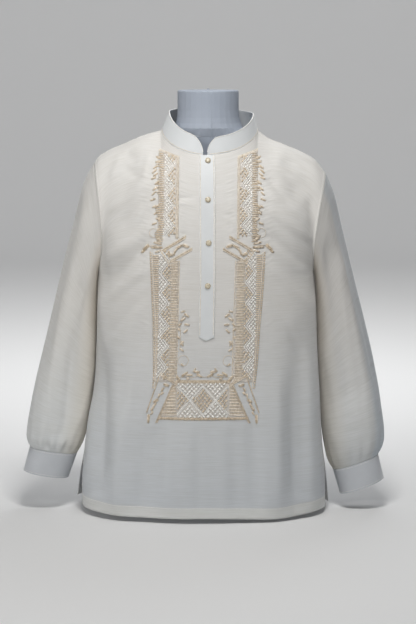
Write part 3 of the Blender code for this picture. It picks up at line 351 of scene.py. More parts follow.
# The embroidered bib, seen from the front: reaches are measured from its middle line
BIB_MIDDLE = Table(
    "height x",
    [
        (200, -9.8), (240, -9), (310, -3.8), (420, -0.6), (560, 0.4), (700, 1.9),
    ],
)
UPPER_BAND = {
    "border": 0.0580,
    "zig_in": 0.0650,
    "zig_out": 0.0818,
    "ladder_in": 0.0840,
    "ladder_out": 0.1010,
}
UPPER_LOW = 0.5561
UPPER_HIGH = 0.7065
UPPER_TOP = 0.7005
UPPER_SLOPE = 0.34
UPPER_STEP = 0.0188
LOWER_BAND = {"inner": 0.0528, "ladder_out": 0.0715, "zig_in": 0.0742, "zig_out": 0.0902}
LOWER_LOW = 0.2822
LOWER_HIGH = 0.5282
LOWER_STEP = 0.0205
LOWER_OUTER = Table(
    "height reach",
    [
        (262, 96.8), (300, 98), (380, 100.5), (450, 105.2), (525, 108.9),
    ],
)
BASE_LOW = 0.2100
BASE_HIGH = 0.2720
BASE_HALF_TOP = 0.0575
BASE_HALF_LOW = 0.0840
DIAMOND_HALF = 0.0245
STITCH_LIFT = 0.0003

# Level stitches of the base: thread, shift of their inner and outer end, trim, width and height
BASE_RUNGS = [
    ("pale", 0.0, -0.0010, 0.0025, 0.0028, 0.0012),
    ("tan", 0.0028, 0.0020, 0.0035, 0.0018, 0.0009),
]

# Leaves of one side: base and tip, as reach and height, and the width
LEAVES = Table(
    "reach height tip_reach tip_height width",
    [
        (90, 698, 101, 702, 3), (91, 693, 102.5, 691.5, 2.8), (96, 686, 106, 679, 3),
        (98.5, 679, 108, 670, 2.8), (96, 672, 105.5, 665, 2.8), (99, 664, 109.5, 660, 3),
        (93, 658, 102, 650, 3.2), (97.5, 646, 106, 639, 3), (100, 637, 108, 630, 2.6),
        (99.5, 625, 110.5, 620, 3), (99, 612, 106, 607, 2.8), (93, 613, 101, 606, 3.2),
        (95, 601, 103, 594, 3), (89, 584, 99, 588, 3.2), (96, 580, 106.5, 576, 2.8),
        (90, 570, 97.5, 563, 3), (87, 546, 98.5, 551, 3.2), (86, 540, 103, 543, 3.4),
        (85, 534, 108, 533, 3.6), (86, 529, 100, 524, 3), (111, 538, 118, 533, 4.6),
        (115, 534, 123, 527, 5), (119, 528, 126, 522, 4), (75.5, 523.6, 65.5, 518, 4.4),
        (65.5, 518.4, 60, 531, 3.4), (64, 526, 56, 533, 3.2), (60, 532, 48, 538.5, 4),
        (48, 539, 34.5, 534.5, 4.4), (50, 411, 41, 413, 2.6), (43, 408.5, 33.8, 400.8, 3.2),
        (50, 393.5, 40.2, 401, 2.8), (54.5, 384, 47.5, 389.5, 2.6), (43.5, 387.5, 32, 386.5, 2.8),
        (55.5, 380, 49, 374.5, 3), (44.5, 370.5, 36.2, 378, 2.8), (56, 365, 51, 359, 3.2),
        (50, 348, 43, 355.5, 2.8), (47.5, 356, 44, 345, 2.8), (51, 341.5, 42, 335.5, 2.8),
        (47, 312, 41, 307, 2.6), (65.8, 268.8, 77.6, 271.6, 4.4), (75.8, 265, 81.3, 258.4, 3),
        (75.8, 256.6, 81.3, 251, 3.2), (83.1, 253.7, 85.5, 245.2, 3), (85, 242.4, 94.5, 235.8, 4.6),
        (89, 234.9, 95.5, 227.3, 3.2), (93, 228, 99.6, 219.5, 3.4), (95, 219, 98.5, 212, 3),
        (103.2, 213, 104.1, 194.5, 4.2), (54.3, 288.6, 46, 279, 4), (44.2, 287.6, 32.3, 296.1, 3.6),
        (36.9, 289.5, 22.3, 290.5, 3.2), (35.1, 283.5, 28, 282.5, 2.8), (23.2, 296, 17.7, 303.7, 2.6),
        (21.5, 296.5, 9.6, 296.1, 3.6), (15.9, 293.3, 4.9, 285.8, 4),
    ],
)
STEMS = [
    [(0.0700, 0.2720), (0.0810, 0.2540), (0.0910, 0.2310), (0.1020, 0.2080)],
    [(0.0000, 0.2862), (0.0130, 0.2880), (0.0250, 0.2850), (0.0400, 0.2865), (0.0540, 0.2840)],
    [(0.0420, 0.4080), (0.0520, 0.3920), (0.0500, 0.3720), (0.0500, 0.3400)],
    [(0.0860, 0.5320), (0.0980, 0.5370), (0.1080, 0.5360), (0.1200, 0.5270)],
]
LEAF_SWELL = 1.35
RINGS = Table(
    "reach height radius",
    [
        (102, 560, 8.5), (43, 317.5, 10),
    ],
)
BARS = [
    [(0.0411, 0.5545), (0.0885, 0.5262)],
    [(0.0290, 0.5316), (0.0750, 0.5055)],
    [(0.0875, 0.5255), (0.0750, 0.5060)],
    [(0.0860, 0.2930), (0.0490, 0.2705)],
]

# The three rows of each crossing bar: thread, shift, width and height. The thin, low tan row between the
# two pale ones is painted shadow in the gap between them
BAR_THREADS = [
    ("pale", -0.0026, 0.0022, 0.0013),
    ("tan", -0.0006, 0.0016, 0.0005),
    ("pale", 0.0014, 0.0022, 0.0013),
]

# The sleeves: how finely they are divided, round and down, and the flat cut's width and length
SLEEVE_GRID = (110, 150)
SLEEVE_CUT = (0.42, 0.56)

# The share of its box that a panel's or a sleeve's cut fills
CUT_FILL = 0.84


def ease(share):
    """Smooth step from 0 to 1."""
    share = np.clip(share, 0, 1)
    return share * share * (3 - 2 * share)


def unit(vectors):
    """The vectors scaled to length one."""
    return vectors / np.maximum(np.linalg.norm(vectors, axis=-1, keepdims=True), 1e-12)


def by_side(across, left, right):
    """Takes the left or the right value, by which side of the middle a point is on."""
    return np.where(across < 0, left, right)


def hanging_point(face, across, height):
    """A point of the body below the underarm, across from -1 (left seam) to 1 (right seam)."""
    turn = np.abs(across) * math.pi / 2
    sine, cosine = np.sin(turn), np.cos(turn)
    fuller = (sine**SECTION_FULLNESS + cosine**SECTION_FULLNESS) ** (1 / SECTION_FULLNESS)
    open_share = np.clip((VENT_TOP - height) / VENT_TOP, 0, 1) ** 1.4
    outward = by_side(across, VENT[face, -1]["outward"], VENT[face, 1]["outward"]) * open_share
    along_y = by_side(across, VENT[face, -1]["along_y"], VENT[face, 1]["along_y"]) * open_share
    reach = by_side(across, -BODY.read("left", height), BODY.read("right", height))
    reach = reach + np.sign(across) * outward * np.abs(across) ** 3
    middle = BODY.read("middle", height)
    depth = BODY.read(PANEL[face]["name"], height)
    edge_y = SIDE_SEAM_Y + face * (SEAM_GAP / 2 + along_y)
    x = middle + (reach - middle) * sine / fuller
    y = edge_y + (face * depth - edge_y) * cosine / fuller
    return np.stack([x, y, height + 0 * x], axis=-1)


def neckline_point(face, side, share):
    """A point of the neckline seam, from the middle (share 0) to the neck point (share 1)."""
    turn = math.pi / 2 * (0.6 * share + 0.4 * share**3)
    reach = by_side(side, -RIDGE[-1].key[0], RIDGE[1].key[0])
    middle_y, middle_z = PANEL[face]["neck"]
    side_z = RIDGE[1].columns["height"][0]
    side_y = NECK_POINT_Y + face * SEAM_GAP / 2
    x = NECK_MIDDLE + (reach - NECK_MIDDLE) * np.sin(turn)
    y = side_y + (middle_y - side_y) * np.cos(turn)
    z = side_z + (middle_z - side_z) * np.cos(turn) ** 1.15
    return np.stack([x, y, z], axis=-1)


def ridge_point(face, side, share):
    """A point of the shoulder seam, from the neck point (share 0) to the shoulder point (share 1)."""
    points = []
    for sign in (-1, 1):
        start, end = RIDGE[sign].key[0], RIDGE[sign].key[-1]
        reach = start + (end - start) * share
        points.append((sign * reach, RIDGE[sign].read("height", reach)))
    x, z = [by_side(side, left, right) for left, right in zip(*points)]
    y = NECK_POINT_Y + (SHOULDER_POINT_Y - NECK_POINT_Y) * share
    return np.stack([x, y + face * SEAM_GAP / 2, z], axis=-1)


def top_point(face, across):
    """The panel's top edge: the neckline near the middle, the shoulder seam beyond it."""
    share = np.abs(across)
    on_neckline = neckline_point(face, across, np.clip(share / NECK_SHARE, 0, 1))
    on_ridge = ridge_point(face, across, np.clip((share - NECK_SHARE) / (1 - NECK_SHARE), 0, 1))
    return np.where((share <= NECK_SHARE)[..., None], on_neckline, on_ridge)


def softened_top(face, across):
    """The top edge with its corner at the neck point rounded off, for the cloth well below it."""
    spread = NECK_BLEND * np.minimum(1, (1 - np.abs(across)) / 0.3)
    offsets = np.linspace(-1, 1, 9)
    weights = np.cos(offsets * math.pi / 2.4) ** 2
    total = 0
    for offset, weight in zip(offsets, weights / weights.sum()):
        total = total + weight * top_point(face, across + offset * spread)
    return total


def armhole_point(side, turn):
    """The armhole seam: turn 0 is the shoulder point, 90 degrees its front, 180 the underarm."""
    top_reach = RIDGE[side].key[-1]
    top_height = RIDGE[side].columns["height"][-1]
    low_reach = BODY.columns["left" if side < 0 else "right"][-1]
    fall = (1 - np.cos(turn)) / 2
    sine = np.sin(turn)
    scoop = ARMHOLE[side]["scoop"] * sine**2 * (0.5 + fall)
    depth = np.where(sine > 0, ARMHOLE[side]["front"], ARMHOLE[side]["back"])
    x = side * (top_reach + (low_reach - top_reach) * fall - scoop)
    y = SHOULDER_POINT_Y + (UNDERARM_Y - SHOULDER_POINT_Y) * fall - depth * sine
    z = top_height + (UNDERARM_HEIGHT - top_height) * fall
    return np.stack([x, y, z], axis=-1)


def upper_point(face, across, rise):
    """A point of the panel above the underarm, rise 0 there and 1 at its top edge."""

    def turned(low, top, turn):
        """From a low to a top point, while the cloth leans over by an angle."""
        back = (1 - np.cos(turn * rise)) / (1 - np.cos(turn))
        up = np.sin(turn * rise) / np.sin(turn)
        return low + (top - low) * np.stack([rise, back, up], axis=-1)

    low = hanging_point(face, across, UNDERARM_HEIGHT + 0 * across)
    soft = softened_top(face, across)
    top = soft + (top_point(face, across) - soft) * (rise**4)[..., None]
    reach = np.abs(across)
    turn = TURN_AT_NECKLINE + (TURN_AT_SHOULDER - TURN_AT_NECKLINE) * ease(reach / (2 * NECK_SHARE))
    seam = []
    for side in (-1, 1):
        edge = hanging_point(face, np.array(float(side)), np.array(UNDERARM_HEIGHT))
        plain = turned(edge, armhole_point(side, np.array(0.0)), TURN_AT_SHOULDER)
        half_gap = np.array([0, face * SEAM_GAP / 2, 0])
        seam.append(armhole_point(side, -face * math.pi * (1 - rise)) + half_gap - plain)
    pull = by_side(across[..., None], seam[0], seam[1])
    return turned(low, top, turn) + pull * (reach**3)[..., None]


def fold_relief(folds, x, z):
    """The sum of soft ridges and troughs, each along its own line."""
    total = 0 * x
    for fold in folds.rows():
        start = np.array([fold["from_x"], fold["from_z"]])
        way = np.array([fold["to_x"], fold["to_z"]]) - start
        length = np.linalg.norm(way)
        along = ((x - start[0]) * way[0] + (z - start[1]) * way[1]) / length**2
        aside = ((x - start[0]) * way[1] - (z - start[1]) * way[0]) / length
        fade = ease((along + 0.25) / 0.5) * ease((1.25 - along) / 0.5)
        total = total + fold["depth"] * fade * np.exp(-((aside / fold["width"]) ** 2))
    return total


def smooth_panel(face, across, rise):
    """The panel without folds: rise 0 is the hem, 1 the underarm and 2 the top edge."""
    hem = HEM[face].read("height", across)
    height = hem + (UNDERARM_HEIGHT - hem) * np.clip(rise, 0, 1)
    lower = hanging_point(face, across, height)
    upper = upper_point(face, across, np.clip(rise - 1, 0, 1))
    return np.where((rise <= 1)[..., None], lower, upper)


def panel_normals(face, across, rise):
    """Outward directions of the smooth panel."""
    step = 0.004
    left = smooth_panel(face, np.clip(across - step, -1, 1), rise)
    right = smooth_panel(face, np.clip(across + step, -1, 1), rise)
    low = smooth_panel(face, across, np.clip(rise - step, 0, 2))
    high = smooth_panel(face, across, np.clip(rise + step, 0, 2))
    return unit(-face * np.cross(right - left, high - low))


def pucker(x, z):
    """Short level wrinkles where the stitches draw the cloth in beside the embroidery."""
    reach = np.abs(x + 0.002)
    beside = np.exp(-(((reach - 0.118) / 0.010) ** 2))
    inside = np.exp(-(((reach - 0.046) / 0.008) ** 2)) * (z > 0.31)
    along = ease((z - 0.20) / 0.05) * ease((0.70 - z) / 0.05)
    slant = (z - 0.35 * np.abs(x)) * 2 * math.pi
    waves = 0.6 * np.sin(slant / 0.0098 + 5 * np.sin(z * 41)) + 0.4 * np.sin(slant / 0.0064)
    return (beside + 0.7 * inside) * along * waves * PUCKER_DEPTH


def panel_surface(face, across, rise):
    """Outer points and outward directions of the front or the back, with all their folds."""
    points = smooth_panel(face, across, rise)
    normals = panel_normals(face, across, rise)
    x, z = points[..., 0], points[..., 2]
    from_side, from_top = 1 - np.abs(across), 2 - rise
    fine = fold_relief(CREASES[face], x, z)
    under_placket = 0
    if face == FRONT:
        fine = fine + pucker(x, z)
        under_placket = (rise > 0.6) * (1 - ease((np.abs(across) - PLACKET_SHARE) / 0.10))
    relief = fold_relief(FOLDS[face], x, z) * ease(from_side / 0.12) * ease(from_top / 0.25)
    relief = relief + fine * ease(from_side / 0.05) * ease(from_top / 0.12)
    return points + normals * (relief * (1 - under_placket))[..., None], normals


def armhole_ways(side, turn):
    """The way along the armhole seam, and the outward one that the body and the sleeve share."""
    step = 0.01
    along = armhole_point(side, turn + step) - armhole_point(side, turn - step)
    across_seam = np.stack([side + 0 * turn, 0 * turn, -0.6 * np.clip(np.cos(turn), 0, 1) ** 2], axis=-1)
    return along, unit(side * np.cross(along, across_seam))


def sleeve_seam(side, turn):
    """The sleeve's own edge: the armhole seam, one seam's gap away from the panels."""
    along, normal = armhole_ways(side, turn)
    away = unit(np.cross(normal, along))
    away = away * np.sign(away[..., :1]) * side
    return armhole_point(side, turn) + away * ARMHOLE_GAP


def neckline_normal(points):
    """The direction shared by the panels and the collar along the neckline."""
    flat = (points - np.array([NECK_MIDDLE, -0.010, 0])) * LEVEL
    return unit(unit(flat) * 0.78 + UP * 0.62)


def oval(side, outer, inner, middle_y, half_depth, turn):
    """A fuller ellipse: turn 0 is its outer point, as reach and height, and 90 degrees its front."""
    sine, cosine = np.sin(turn), np.cos(turn)
    n = SLEEVE_FULLNESS
    fuller = (np.abs(sine) ** n + np.abs(cosine) ** n) ** (1 / n)
    x = side * ((outer[0] + inner[0]) / 2 + (outer[0] - inner[0]) / 2 * cosine / fuller)
    z = (outer[1] + inner[1]) / 2 + (outer[1] - inner[1]) / 2 * cosine / fuller
    return np.stack([x, middle_y - half_depth * sine / fuller, z], axis=-1)


def sleeve_ring(side, share, turn):
    """A ring of the sleeve's plain tube."""
    sizes = [SLEEVE[side].read(name, share) for name in SLEEVE[side].names[1:]]
    return oval(side, sizes[0:2], sizes[2:4], sizes[4], sizes[5], turn)


def smooth_sleeve(side, share, turn):
    """The sleeve without folds: the armhole seam at share 0 grows into the tube."""
    to_seam = sleeve_seam(side, turn) - sleeve_ring(side, 0 * share, turn)
    return sleeve_ring(side, share, turn) + to_seam * (1 - ease(share / ARMHOLE_BLEND))[..., None]


def ridge_at(fold, degrees, angle):
    """The height of a lengthwise fold at some angles round, where it runs along one of them."""
    away = (degrees - angle + 180) % 360 - 180
    return fold["depth"] * np.exp(-((away / fold["half_width"]) ** 2))


def sleeve_relief(side, share, turn):
    """Lengthwise folds, finer creases and the gathers at the cuff. The underside is calm."""
    total = 0 * share
    degrees = np.degrees(turn)
    for fold in SLEEVE_FOLDS[side].rows():
        fade = ease((share - fold["start"]) / 0.12)
        if fold["end"] < 1:
            fade = fade * ease((fold["end"] - share) / 0.12)
        total = total + fade * ridge_at(fold, degrees, fold["angle"])
    for fold in SLEEVE_CREASES[side].rows():
        drift = (share - fold["start"]) / (fold["end"] - fold["start"])
        angle = fold["from_angle"] + (fold["to_angle"] - fold["from_angle"]) * drift
        total = total + ease(drift / 0.3) * ease((1 - drift) / 0.3) * ridge_at(fold, degrees, angle)
    uneven = 1 + 0.5 * np.sin(2 * turn + side) + 0.3 * np.sin(5 * turn)
    gather = np.cos(GATHER_COUNT * turn + 0.9 * np.sin(3 * turn)) * uneven
    total = total + GATHER_DEPTH * gather * ease((share - 0.86) / 0.12)
    calm = 1 - np.clip(-np.cos(turn), 0, 1) * (1 - ease((share - 0.12) / 0.30))
    return total * calm * ease(share / 0.15) * ease((1.0 - share) / 0.02)


def sleeve_surface(side, share, turn):
    """Outer points and outward directions of a sleeve."""
    step = 0.004
    round_way = smooth_sleeve(side, share, turn + step) - smooth_sleeve(side, share, turn - step)
    low, high = np.clip(share - step, 0, 1), np.clip(share + step, 0, 1)
    down_way = smooth_sleeve(side, high, turn) - smooth_sleeve(side, low, turn)
    normals = unit(side * np.cross(round_way, down_way))
    relief = sleeve_relief(side, share, turn)
    return smooth_sleeve(side, share, turn) + normals * relief[..., None], normals


def cuff_point(side, fall, turn):
    """A point of the cuff's plain band: fall 0 at the sleeve seam and 1 at the edge."""
    top = sleeve_ring(side, 1 + 0 * fall, turn)
    low = oval(side, *CUFF[side], CUFF_MIDDLE_Y, CUFF_HALF_DEPTH, turn)
    gap = unit(low - top) * SEAM_GAP
    return top + gap + (low - top - gap) * fall[..., None]


def cuff_surface(side, fall, turn):
    """Outer points and outward directions of a cuff, whose end stands off where it laps over."""
    step = 0.01
    fall = fall + 0 * turn
    round_way = cuff_point(side, fall, turn + step) - cuff_point(side, fall, turn - step)
    down_way = cuff_point(side, 1 + 0 * turn, turn) - cuff_point(side, 0 * turn, turn)
    normals = unit(side * np.cross(round_way, down_way))
    lift = CUFF_LIFT * ease((turn - CUFF_START - 2 * math.pi + CUFF_RISE) / CUFF_RISE)
    return cuff_point(side, fall, turn) + normals * lift[..., None], normals


def collar_base(round_share):
    """The neckline seam all round: 0 at the back of the neck, -1 and 1 at the front opening."""
    in_front = np.abs(round_share) > 0.5
    across_front = np.sign(round_share) * (1 - np.abs(round_share)) * 2 * NECK_SHARE
    across_back = round_share * 2 * NECK_SHARE
    front = top_point(FRONT, np.where(in_front, across_front, NECK_SHARE))
    back = top_point(BACK, np.where(in_front, NECK_SHARE, across_back))
    return np.where(in_front[..., None], front, back)


def collar_surface(share, to_end, rows):
    """The band's outer points and wall directions: to_end is the run from the opening's end."""
    curve = by_side(share, COLLAR_END[-1]["curve"], COLLAR_END[1]["curve"])
    rounded = np.sqrt(np.clip(1 - np.clip(1 - to_end / curve, 0, 1) ** 2.2, 0, 1))
    whole = COLLAR_HEIGHT.read("height", share)
    height = COLLAR_TIP + (whole - COLLAR_TIP) * rounded
    base = collar_base(share)
    out = neckline_normal(base)
    flat = unit(out * LEVEL)
    along = unit(np.gradient(base, axis=0))
    up = unit(np.cross(out, along))
    up = up * np.sign(up[:, 2:3])
    rise = UP * height[:, None] - flat * (COLLAR_LEAN.read("inward", share) * height / whole)[:, None]
    face_way = np.cross(along, unit(rise))
    face_way = unit(face_way * np.sign((face_way * flat).sum(1))[:, None])
    outer, walls = [], []
    for k in np.linspace(0, 1, rows):
        outer.append(base + up * SEAM_GAP + rise * k)
        turned = ease(k / 0.33)
        walls.append(unit(out * (1 - turned) + face_way * turned))
    return np.array(outer), np.array(walls)


# Materials


class Shader:
    """One Principled material, built node by node."""

    def __init__(self, name, **values):
        self.material = bpy.data.materials.new(name)
        self.material.use_nodes = True
        self.tree = self.material.node_tree
        self.shader = self.tree.nodes["Principled BSDF"]
        for socket, value in values.items():
            self.shader.inputs[socket.replace("_", " ")].default_value = value

    def node(self, kind, **settings):
        """A node of one kind: capitalised names are sockets, the others are settings."""
        node = self.tree.nodes.new("ShaderNode" + kind)
        for name, value in settings.items():
            if name[0].isupper():
                node.inputs[name.replace("_", " ")].default_value = value
            else:
                setattr(node, name, value)
        return node

    def link(self, out, socket):
        """Joins an output to an input."""
        self.tree.links.new(out, socket)

    def noise(self, source, scale, detail=2.0, rough=0.55):
        """Soft noise over stretched coordinates: the UV map in metres, or the object's own."""
        mapping = self.node("Mapping", Scale=scale)
        self.link(self.node("TexCoord").outputs[source], mapping.inputs["Vector"])
        node = self.node("TexNoise", Scale=1.0, Detail=detail, Roughness=rough)
        self.link(mapping.outputs["Vector"], node.inputs["Vector"])
        return node.outputs["Fac"]

    def ramp(self, factor, colours):
        """A ramp through two or more colours, each at its own value of a factor."""
        node = self.node("ValToRGB")
        elements = node.color_ramp.elements
        for _ in colours[2:]:
            elements.new(1.0)
        for element, (position, colour) in zip(elements, colours):
            element.position = position
            element.color = (*colour, 1)
        self.link(factor, node.inputs["Fac"])
        return node.outputs["Color"]

    def blend(self, kind, share, first, second):
        """Two colours blended by one kind and a fixed share."""
        node = self.node("Mix", data_type="RGBA", blend_type=kind)
        node.inputs[0].default_value = share
        self.link(first, node.inputs[6])
        self.link(second, node.inputs[7])
        return node.outputs[2]

    def mottle(self, colour, share, factor, reach, grey):
        """Lightens and darkens a colour as a factor strays from 0.5 by up to a reach."""
        greys = [(0.5 - reach, (0.5 - grey,) * 3), (0.5 + reach, (0.5 + grey,) * 3)]
        return self.blend("SOFT_LIGHT", share, colour, self.ramp(factor, greys))

    def painted_shade(self, colour, source, axis, centre, colours):
        """Paints shade: multiplies a colour by others, which follow a coordinate's distance from a
        centre.
        """
        parts = self.node("SeparateXYZ")
        self.link(self.node("TexCoord").outputs[source], parts.inputs["Vector"])
        shifted = self.node("Math", operation="SUBTRACT")
        self.link(parts.outputs[axis], shifted.inputs[0])
        shifted.inputs[1].default_value = centre
        away = self.node("Math", operation="ABSOLUTE")
        self.link(shifted.outputs["Value"], away.inputs[0])
        return self.blend("MULTIPLY", 1.0, colour, self.ramp(away.outputs["Value"], colours))

    def add(self, first, second, share):
        """First plus second times a share, for heights."""
        node = self.node("Math", operation="MULTIPLY_ADD")
        self.link(second, node.inputs[0])
        node.inputs[1].default_value = share
        self.link(first, node.inputs[2])
        return node.outputs["Value"]

    def finish(self, colour, height, strength, distance):
        """Gives the surface its colour and its relief, and returns the material."""
        bump = self.node("Bump", Strength=strength, Distance=distance)
        self.link(height, bump.inputs["Height"])
        self.link(bump.outputs["Normal"], self.shader.inputs["Normal"])
        self.link(colour, self.shader.inputs["Base Color"])
        return self.material


def sheer_cloth(name, light, dark, alpha, painted_shades=()):
    """Sheer plain weave with fine crosswise slubs, its colour multiplied by any painted shades given. The
    UV map is in metres, its U along the weft.
    """
    sheen = {"Sheen_Weight": 0.25, "Sheen_Roughness": 0.4}
    cloth = Shader(name, Roughness=0.55, Alpha=alpha, Specular_IOR_Level=0.35, **sheen)
    slubs = cloth.noise("UV", (22.0, 620.0, 1.0), detail=4.0, rough=0.6)
    streaks = cloth.noise("UV", (5.0, 150.0, 1.0))
    ends = cloth.noise("UV", (700.0, 14.0, 1.0))
    clouds = cloth.noise("Object", (6.0, 6.0, 6.0))
    colour = cloth.ramp(slubs, [(0.34, dark), (0.66, light)])
    colour = cloth.mottle(colour, 0.5, streaks, 0.15, 0.12)
    colour = cloth.mottle(colour, 0.25, clouds, 0.20, 0.07)
    for painted_shade in painted_shades:
        colour = cloth.painted_shade(colour, *painted_shade)
    return cloth.finish(colour, cloth.add(cloth.add(slubs, streaks, 0.5), ends, 0.25), 0.22, 0.0006)


def band_cloth(name, light, dark):
    """Smooth opaque plain weave, for the collar, the plackets and the cuffs."""
    sheen = {"Sheen_Weight": 0.2, "Sheen_Roughness": 0.4}
    cloth = Shader(name, Roughness=0.5, Specular_IOR_Level=0.4, **sheen)
    weft = cloth.noise("Object", (120.0, 120.0, 1400.0))
    warp = cloth.noise("Object", (1400.0, 900.0, 90.0))
    clouds = cloth.noise("Object", (14.0, 14.0, 14.0))
    colour = cloth.mottle(cloth.ramp(clouds, [(0.3, dark), (0.7, light)]), 0.3, weft, 0.15, 0.05)
    return cloth.finish(colour, cloth.add(weft, warp, 0.7), 0.12, 0.0004)


def thread_material(name, light, dark):
    """Satin embroidery thread, a little lighter and darker from stitch to stitch."""
    sheen = {"Sheen_Weight": 0.3, "Sheen_Roughness": 0.35}
    thread = Shader(name, Roughness=0.42, Specular_IOR_Level=0.45, **sheen)
    tone = thread.noise("Object", (260.0, 260.0, 260.0))
    drift = thread.noise("Object", (24.0, 24.0, 24.0), detail=1.0)
    fibres = thread.noise("Object", (2600.0, 2600.0, 2600.0), detail=1.0)
    colour = thread.mottle(thread.ramp(tone, [(0.36, dark), (0.64, light)]), 0.4, drift, 0.2, 0.1)
    return thread.finish(colour, fibres, 0.15, 0.0002)


def form_material():
    """Satin pale grey paint with a faint mottle."""
    form = Shader("form_paint", Roughness=0.6, Specular_IOR_Level=0.3)
    clouds = form.noise("Object", (9.0, 9.0, 5.0), detail=3.0)
    colour = form.ramp(clouds, [(0.32, (0.35, 0.39, 0.46)), (0.68, (0.41, 0.45, 0.52))])
    return form.finish(colour, form.noise("Object", (420.0, 420.0, 420.0)), 0.06, 0.0004)


def button_material(name, dark, light):
    """Cream or gold, softly glossy, with a fine grain."""
    button = Shader(name, Roughness=0.3, Coat_Weight=0.35, Coat_Roughness=0.15)
    grain = button.noise("Object", (900.0, 500.0, 300.0), detail=3.0)
    return button.finish(button.ramp(grain, [(0.35, dark), (0.65, light)]), grain, 0.15, 0.0003)


WHITE = (1.0, 1.0, 1.0)
# Painted shade on the body cloth: a cool grey-blue darkening from just above the hem's turning, easing
# off upward to none at 0.42 m along the cloth. The hem band below it stays light.
SHADE_ABOVE_HEM_STEPS = [
    (0.0, (0.95, 0.98, 1.0)),
    (0.0222, (0.95, 0.98, 1.0)),
    (0.0232, (0.82, 0.87, 0.94)),
    (0.17, (0.86, 0.90, 0.95)),
    (0.42, WHITE),
]
PAINTED_SHADE_ABOVE_HEM = ("UV", "Y", 0.0, SHADE_ABOVE_HEM_STEPS)
# Painted shade on the sleeves: blue-grey darkening towards the bottom, by height
PAINTED_LOW_SHADE = ("Object", "Z", 0.0, [(0.06, (0.88, 0.93, 0.98)), (0.42, WHITE)])
# Painted warm shadow along the sleeve's inner side, where it hangs against the body
PAINTED_INNER_SHADE = ("UV", "X", 0.205, [(0.015, (1.00, 0.92, 0.80)), (0.085, WHITE)])
# Painted blue-grey shade along the sleeve's outer line
PAINTED_OUTER_SHADE = ("UV", "X", 0.0, [(0.0, (0.80, 0.86, 0.93)), (0.052, (0.85, 0.90, 0.96)), (0.066, WHITE)])
CLOTH = sheer_cloth("sheer_cloth", (0.96, 0.94, 0.91), (0.86, 0.84, 0.80), 0.68, [PAINTED_SHADE_ABOVE_HEM])
# Painted shades of the sleeves: the left gets the low and inner shade, the right also the outer one
PAINTED_SLEEVE_SHADES = [PAINTED_LOW_SHADE, PAINTED_INNER_SHADE, PAINTED_OUTER_SHADE]
# The right sleeve's colours are darker and its cloth sheerer than the left's: painted shade for the side
# away from the key light
LEFT_TONES = ((0.94, 0.92, 0.89), (0.84, 0.82, 0.78), 0.66)
RIGHT_SHADED_TONES = ((0.86, 0.84, 0.81), (0.76, 0.74, 0.71), 0.62)
SLEEVE_CLOTH = {
    -1: sheer_cloth("left_sleeve_cloth", *LEFT_TONES, PAINTED_SLEEVE_SHADES[:2]),
    1: sheer_cloth("right_sleeve_cloth_painted_shade", *RIGHT_SHADED_TONES, PAINTED_SLEEVE_SHADES),
}
DOUBLED = sheer_cloth("doubled_cloth", (0.95, 0.95, 0.94), (0.90, 0.89, 0.87), 0.80)
GROUND = sheer_cloth("embroidery_ground", (0.92, 0.87, 0.81), (0.84, 0.78, 0.71), 0.50)
BAND = band_cloth("band_cloth", (0.76, 0.78, 0.79), (0.70, 0.72, 0.73))
# The cuffs' band cloth is far darker than the collar's: painted shade for their low place
CUFF_PAINTED_SHADE_BAND = band_cloth("cuff_cloth_painted_shade", (0.58, 0.60, 0.63), (0.52, 0.54, 0.57))
THREADS = {
    "tan": thread_material("tan_thread", (0.80, 0.68, 0.53), (0.50, 0.40, 0.28)),
    "pale": thread_material("pale_thread", (0.90, 0.82, 0.71), (0.70, 0.60, 0.48)),
    "ivory": thread_material("ivory_thread", (0.97, 0.96, 0.94), (0.88, 0.87, 0.83)),
}
SEAM_THREAD = thread_material("seam_thread", (0.96, 0.95, 0.92), (0.84, 0.82, 0.77))
FORM_PAINT = form_material()
BUTTON_FACE = button_material("button_face", (0.62, 0.54, 0.38), (0.84, 0.79, 0.66))
BUTTON_EDGE = button_material("button_edge", (0.22, 0.15, 0.07), (0.46, 0.34, 0.18))


# Meshes


def link_object(name, data):
    """A new object of the scene."""
    obj = bpy.data.objects.new(name, data)
    bpy.context.scene.collection.objects.link(obj)
    return obj


def mesh_object(name, points, faces, material):
    """A smooth mesh with one material."""
    mesh = bpy.data.meshes.new(name)
    mesh.from_pydata(points.tolist(), [], faces)
    mesh.shade_smooth()
    mesh.materials.append(material)
    return link_object(name, mesh)


def make_object(name, points, faces, material, uv=None):
    """One named mesh that rides on the part."""
    obj = mesh_object(name, points, faces, material)
    if uv is not None:
        obj.data.uv_layers.new(name="metres").data.foreach_set("uv", uv.ravel())
    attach(obj, "root")
    return obj


def stand_for(piece, node, slot, **sheet):
    """Hides the CAD part that a piece stands for. The piece, the slot and the sheet's terms are not used.
    """
    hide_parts(node)


def run_along(line):
    """How far along a line each of its points lies."""
    return np.concatenate([[0], np.cumsum(np.linalg.norm(np.diff(line, axis=0), axis=1))])


def at_runs(stops, run, line):
    """The points of a line, or its directions, at some runs along it."""
    return np.stack([np.interp(stops, run, values) for values in line.T], axis=-1)


def grid_quads(rows, columns):
    """The four corners of each square in a grid of points."""
    row, column = np.mgrid[0:rows - 1, 0:columns - 1]
    first = (row * columns + column).ravel()
    return np.stack([first, first + 1, first + columns + 1, first + columns], axis=1)


def grid_metres(points, closed):
    """Each grid point's place in the flat cloth: metres across and metres down its middle lines."""
    across = points[len(points) // 2]
    if closed:
        across = np.concatenate([across, across[:1]])
    u, v = np.meshgrid(run_along(across), run_along(points[:, points.shape[1] // 2]))
    return np.stack([u, v], axis=-1)


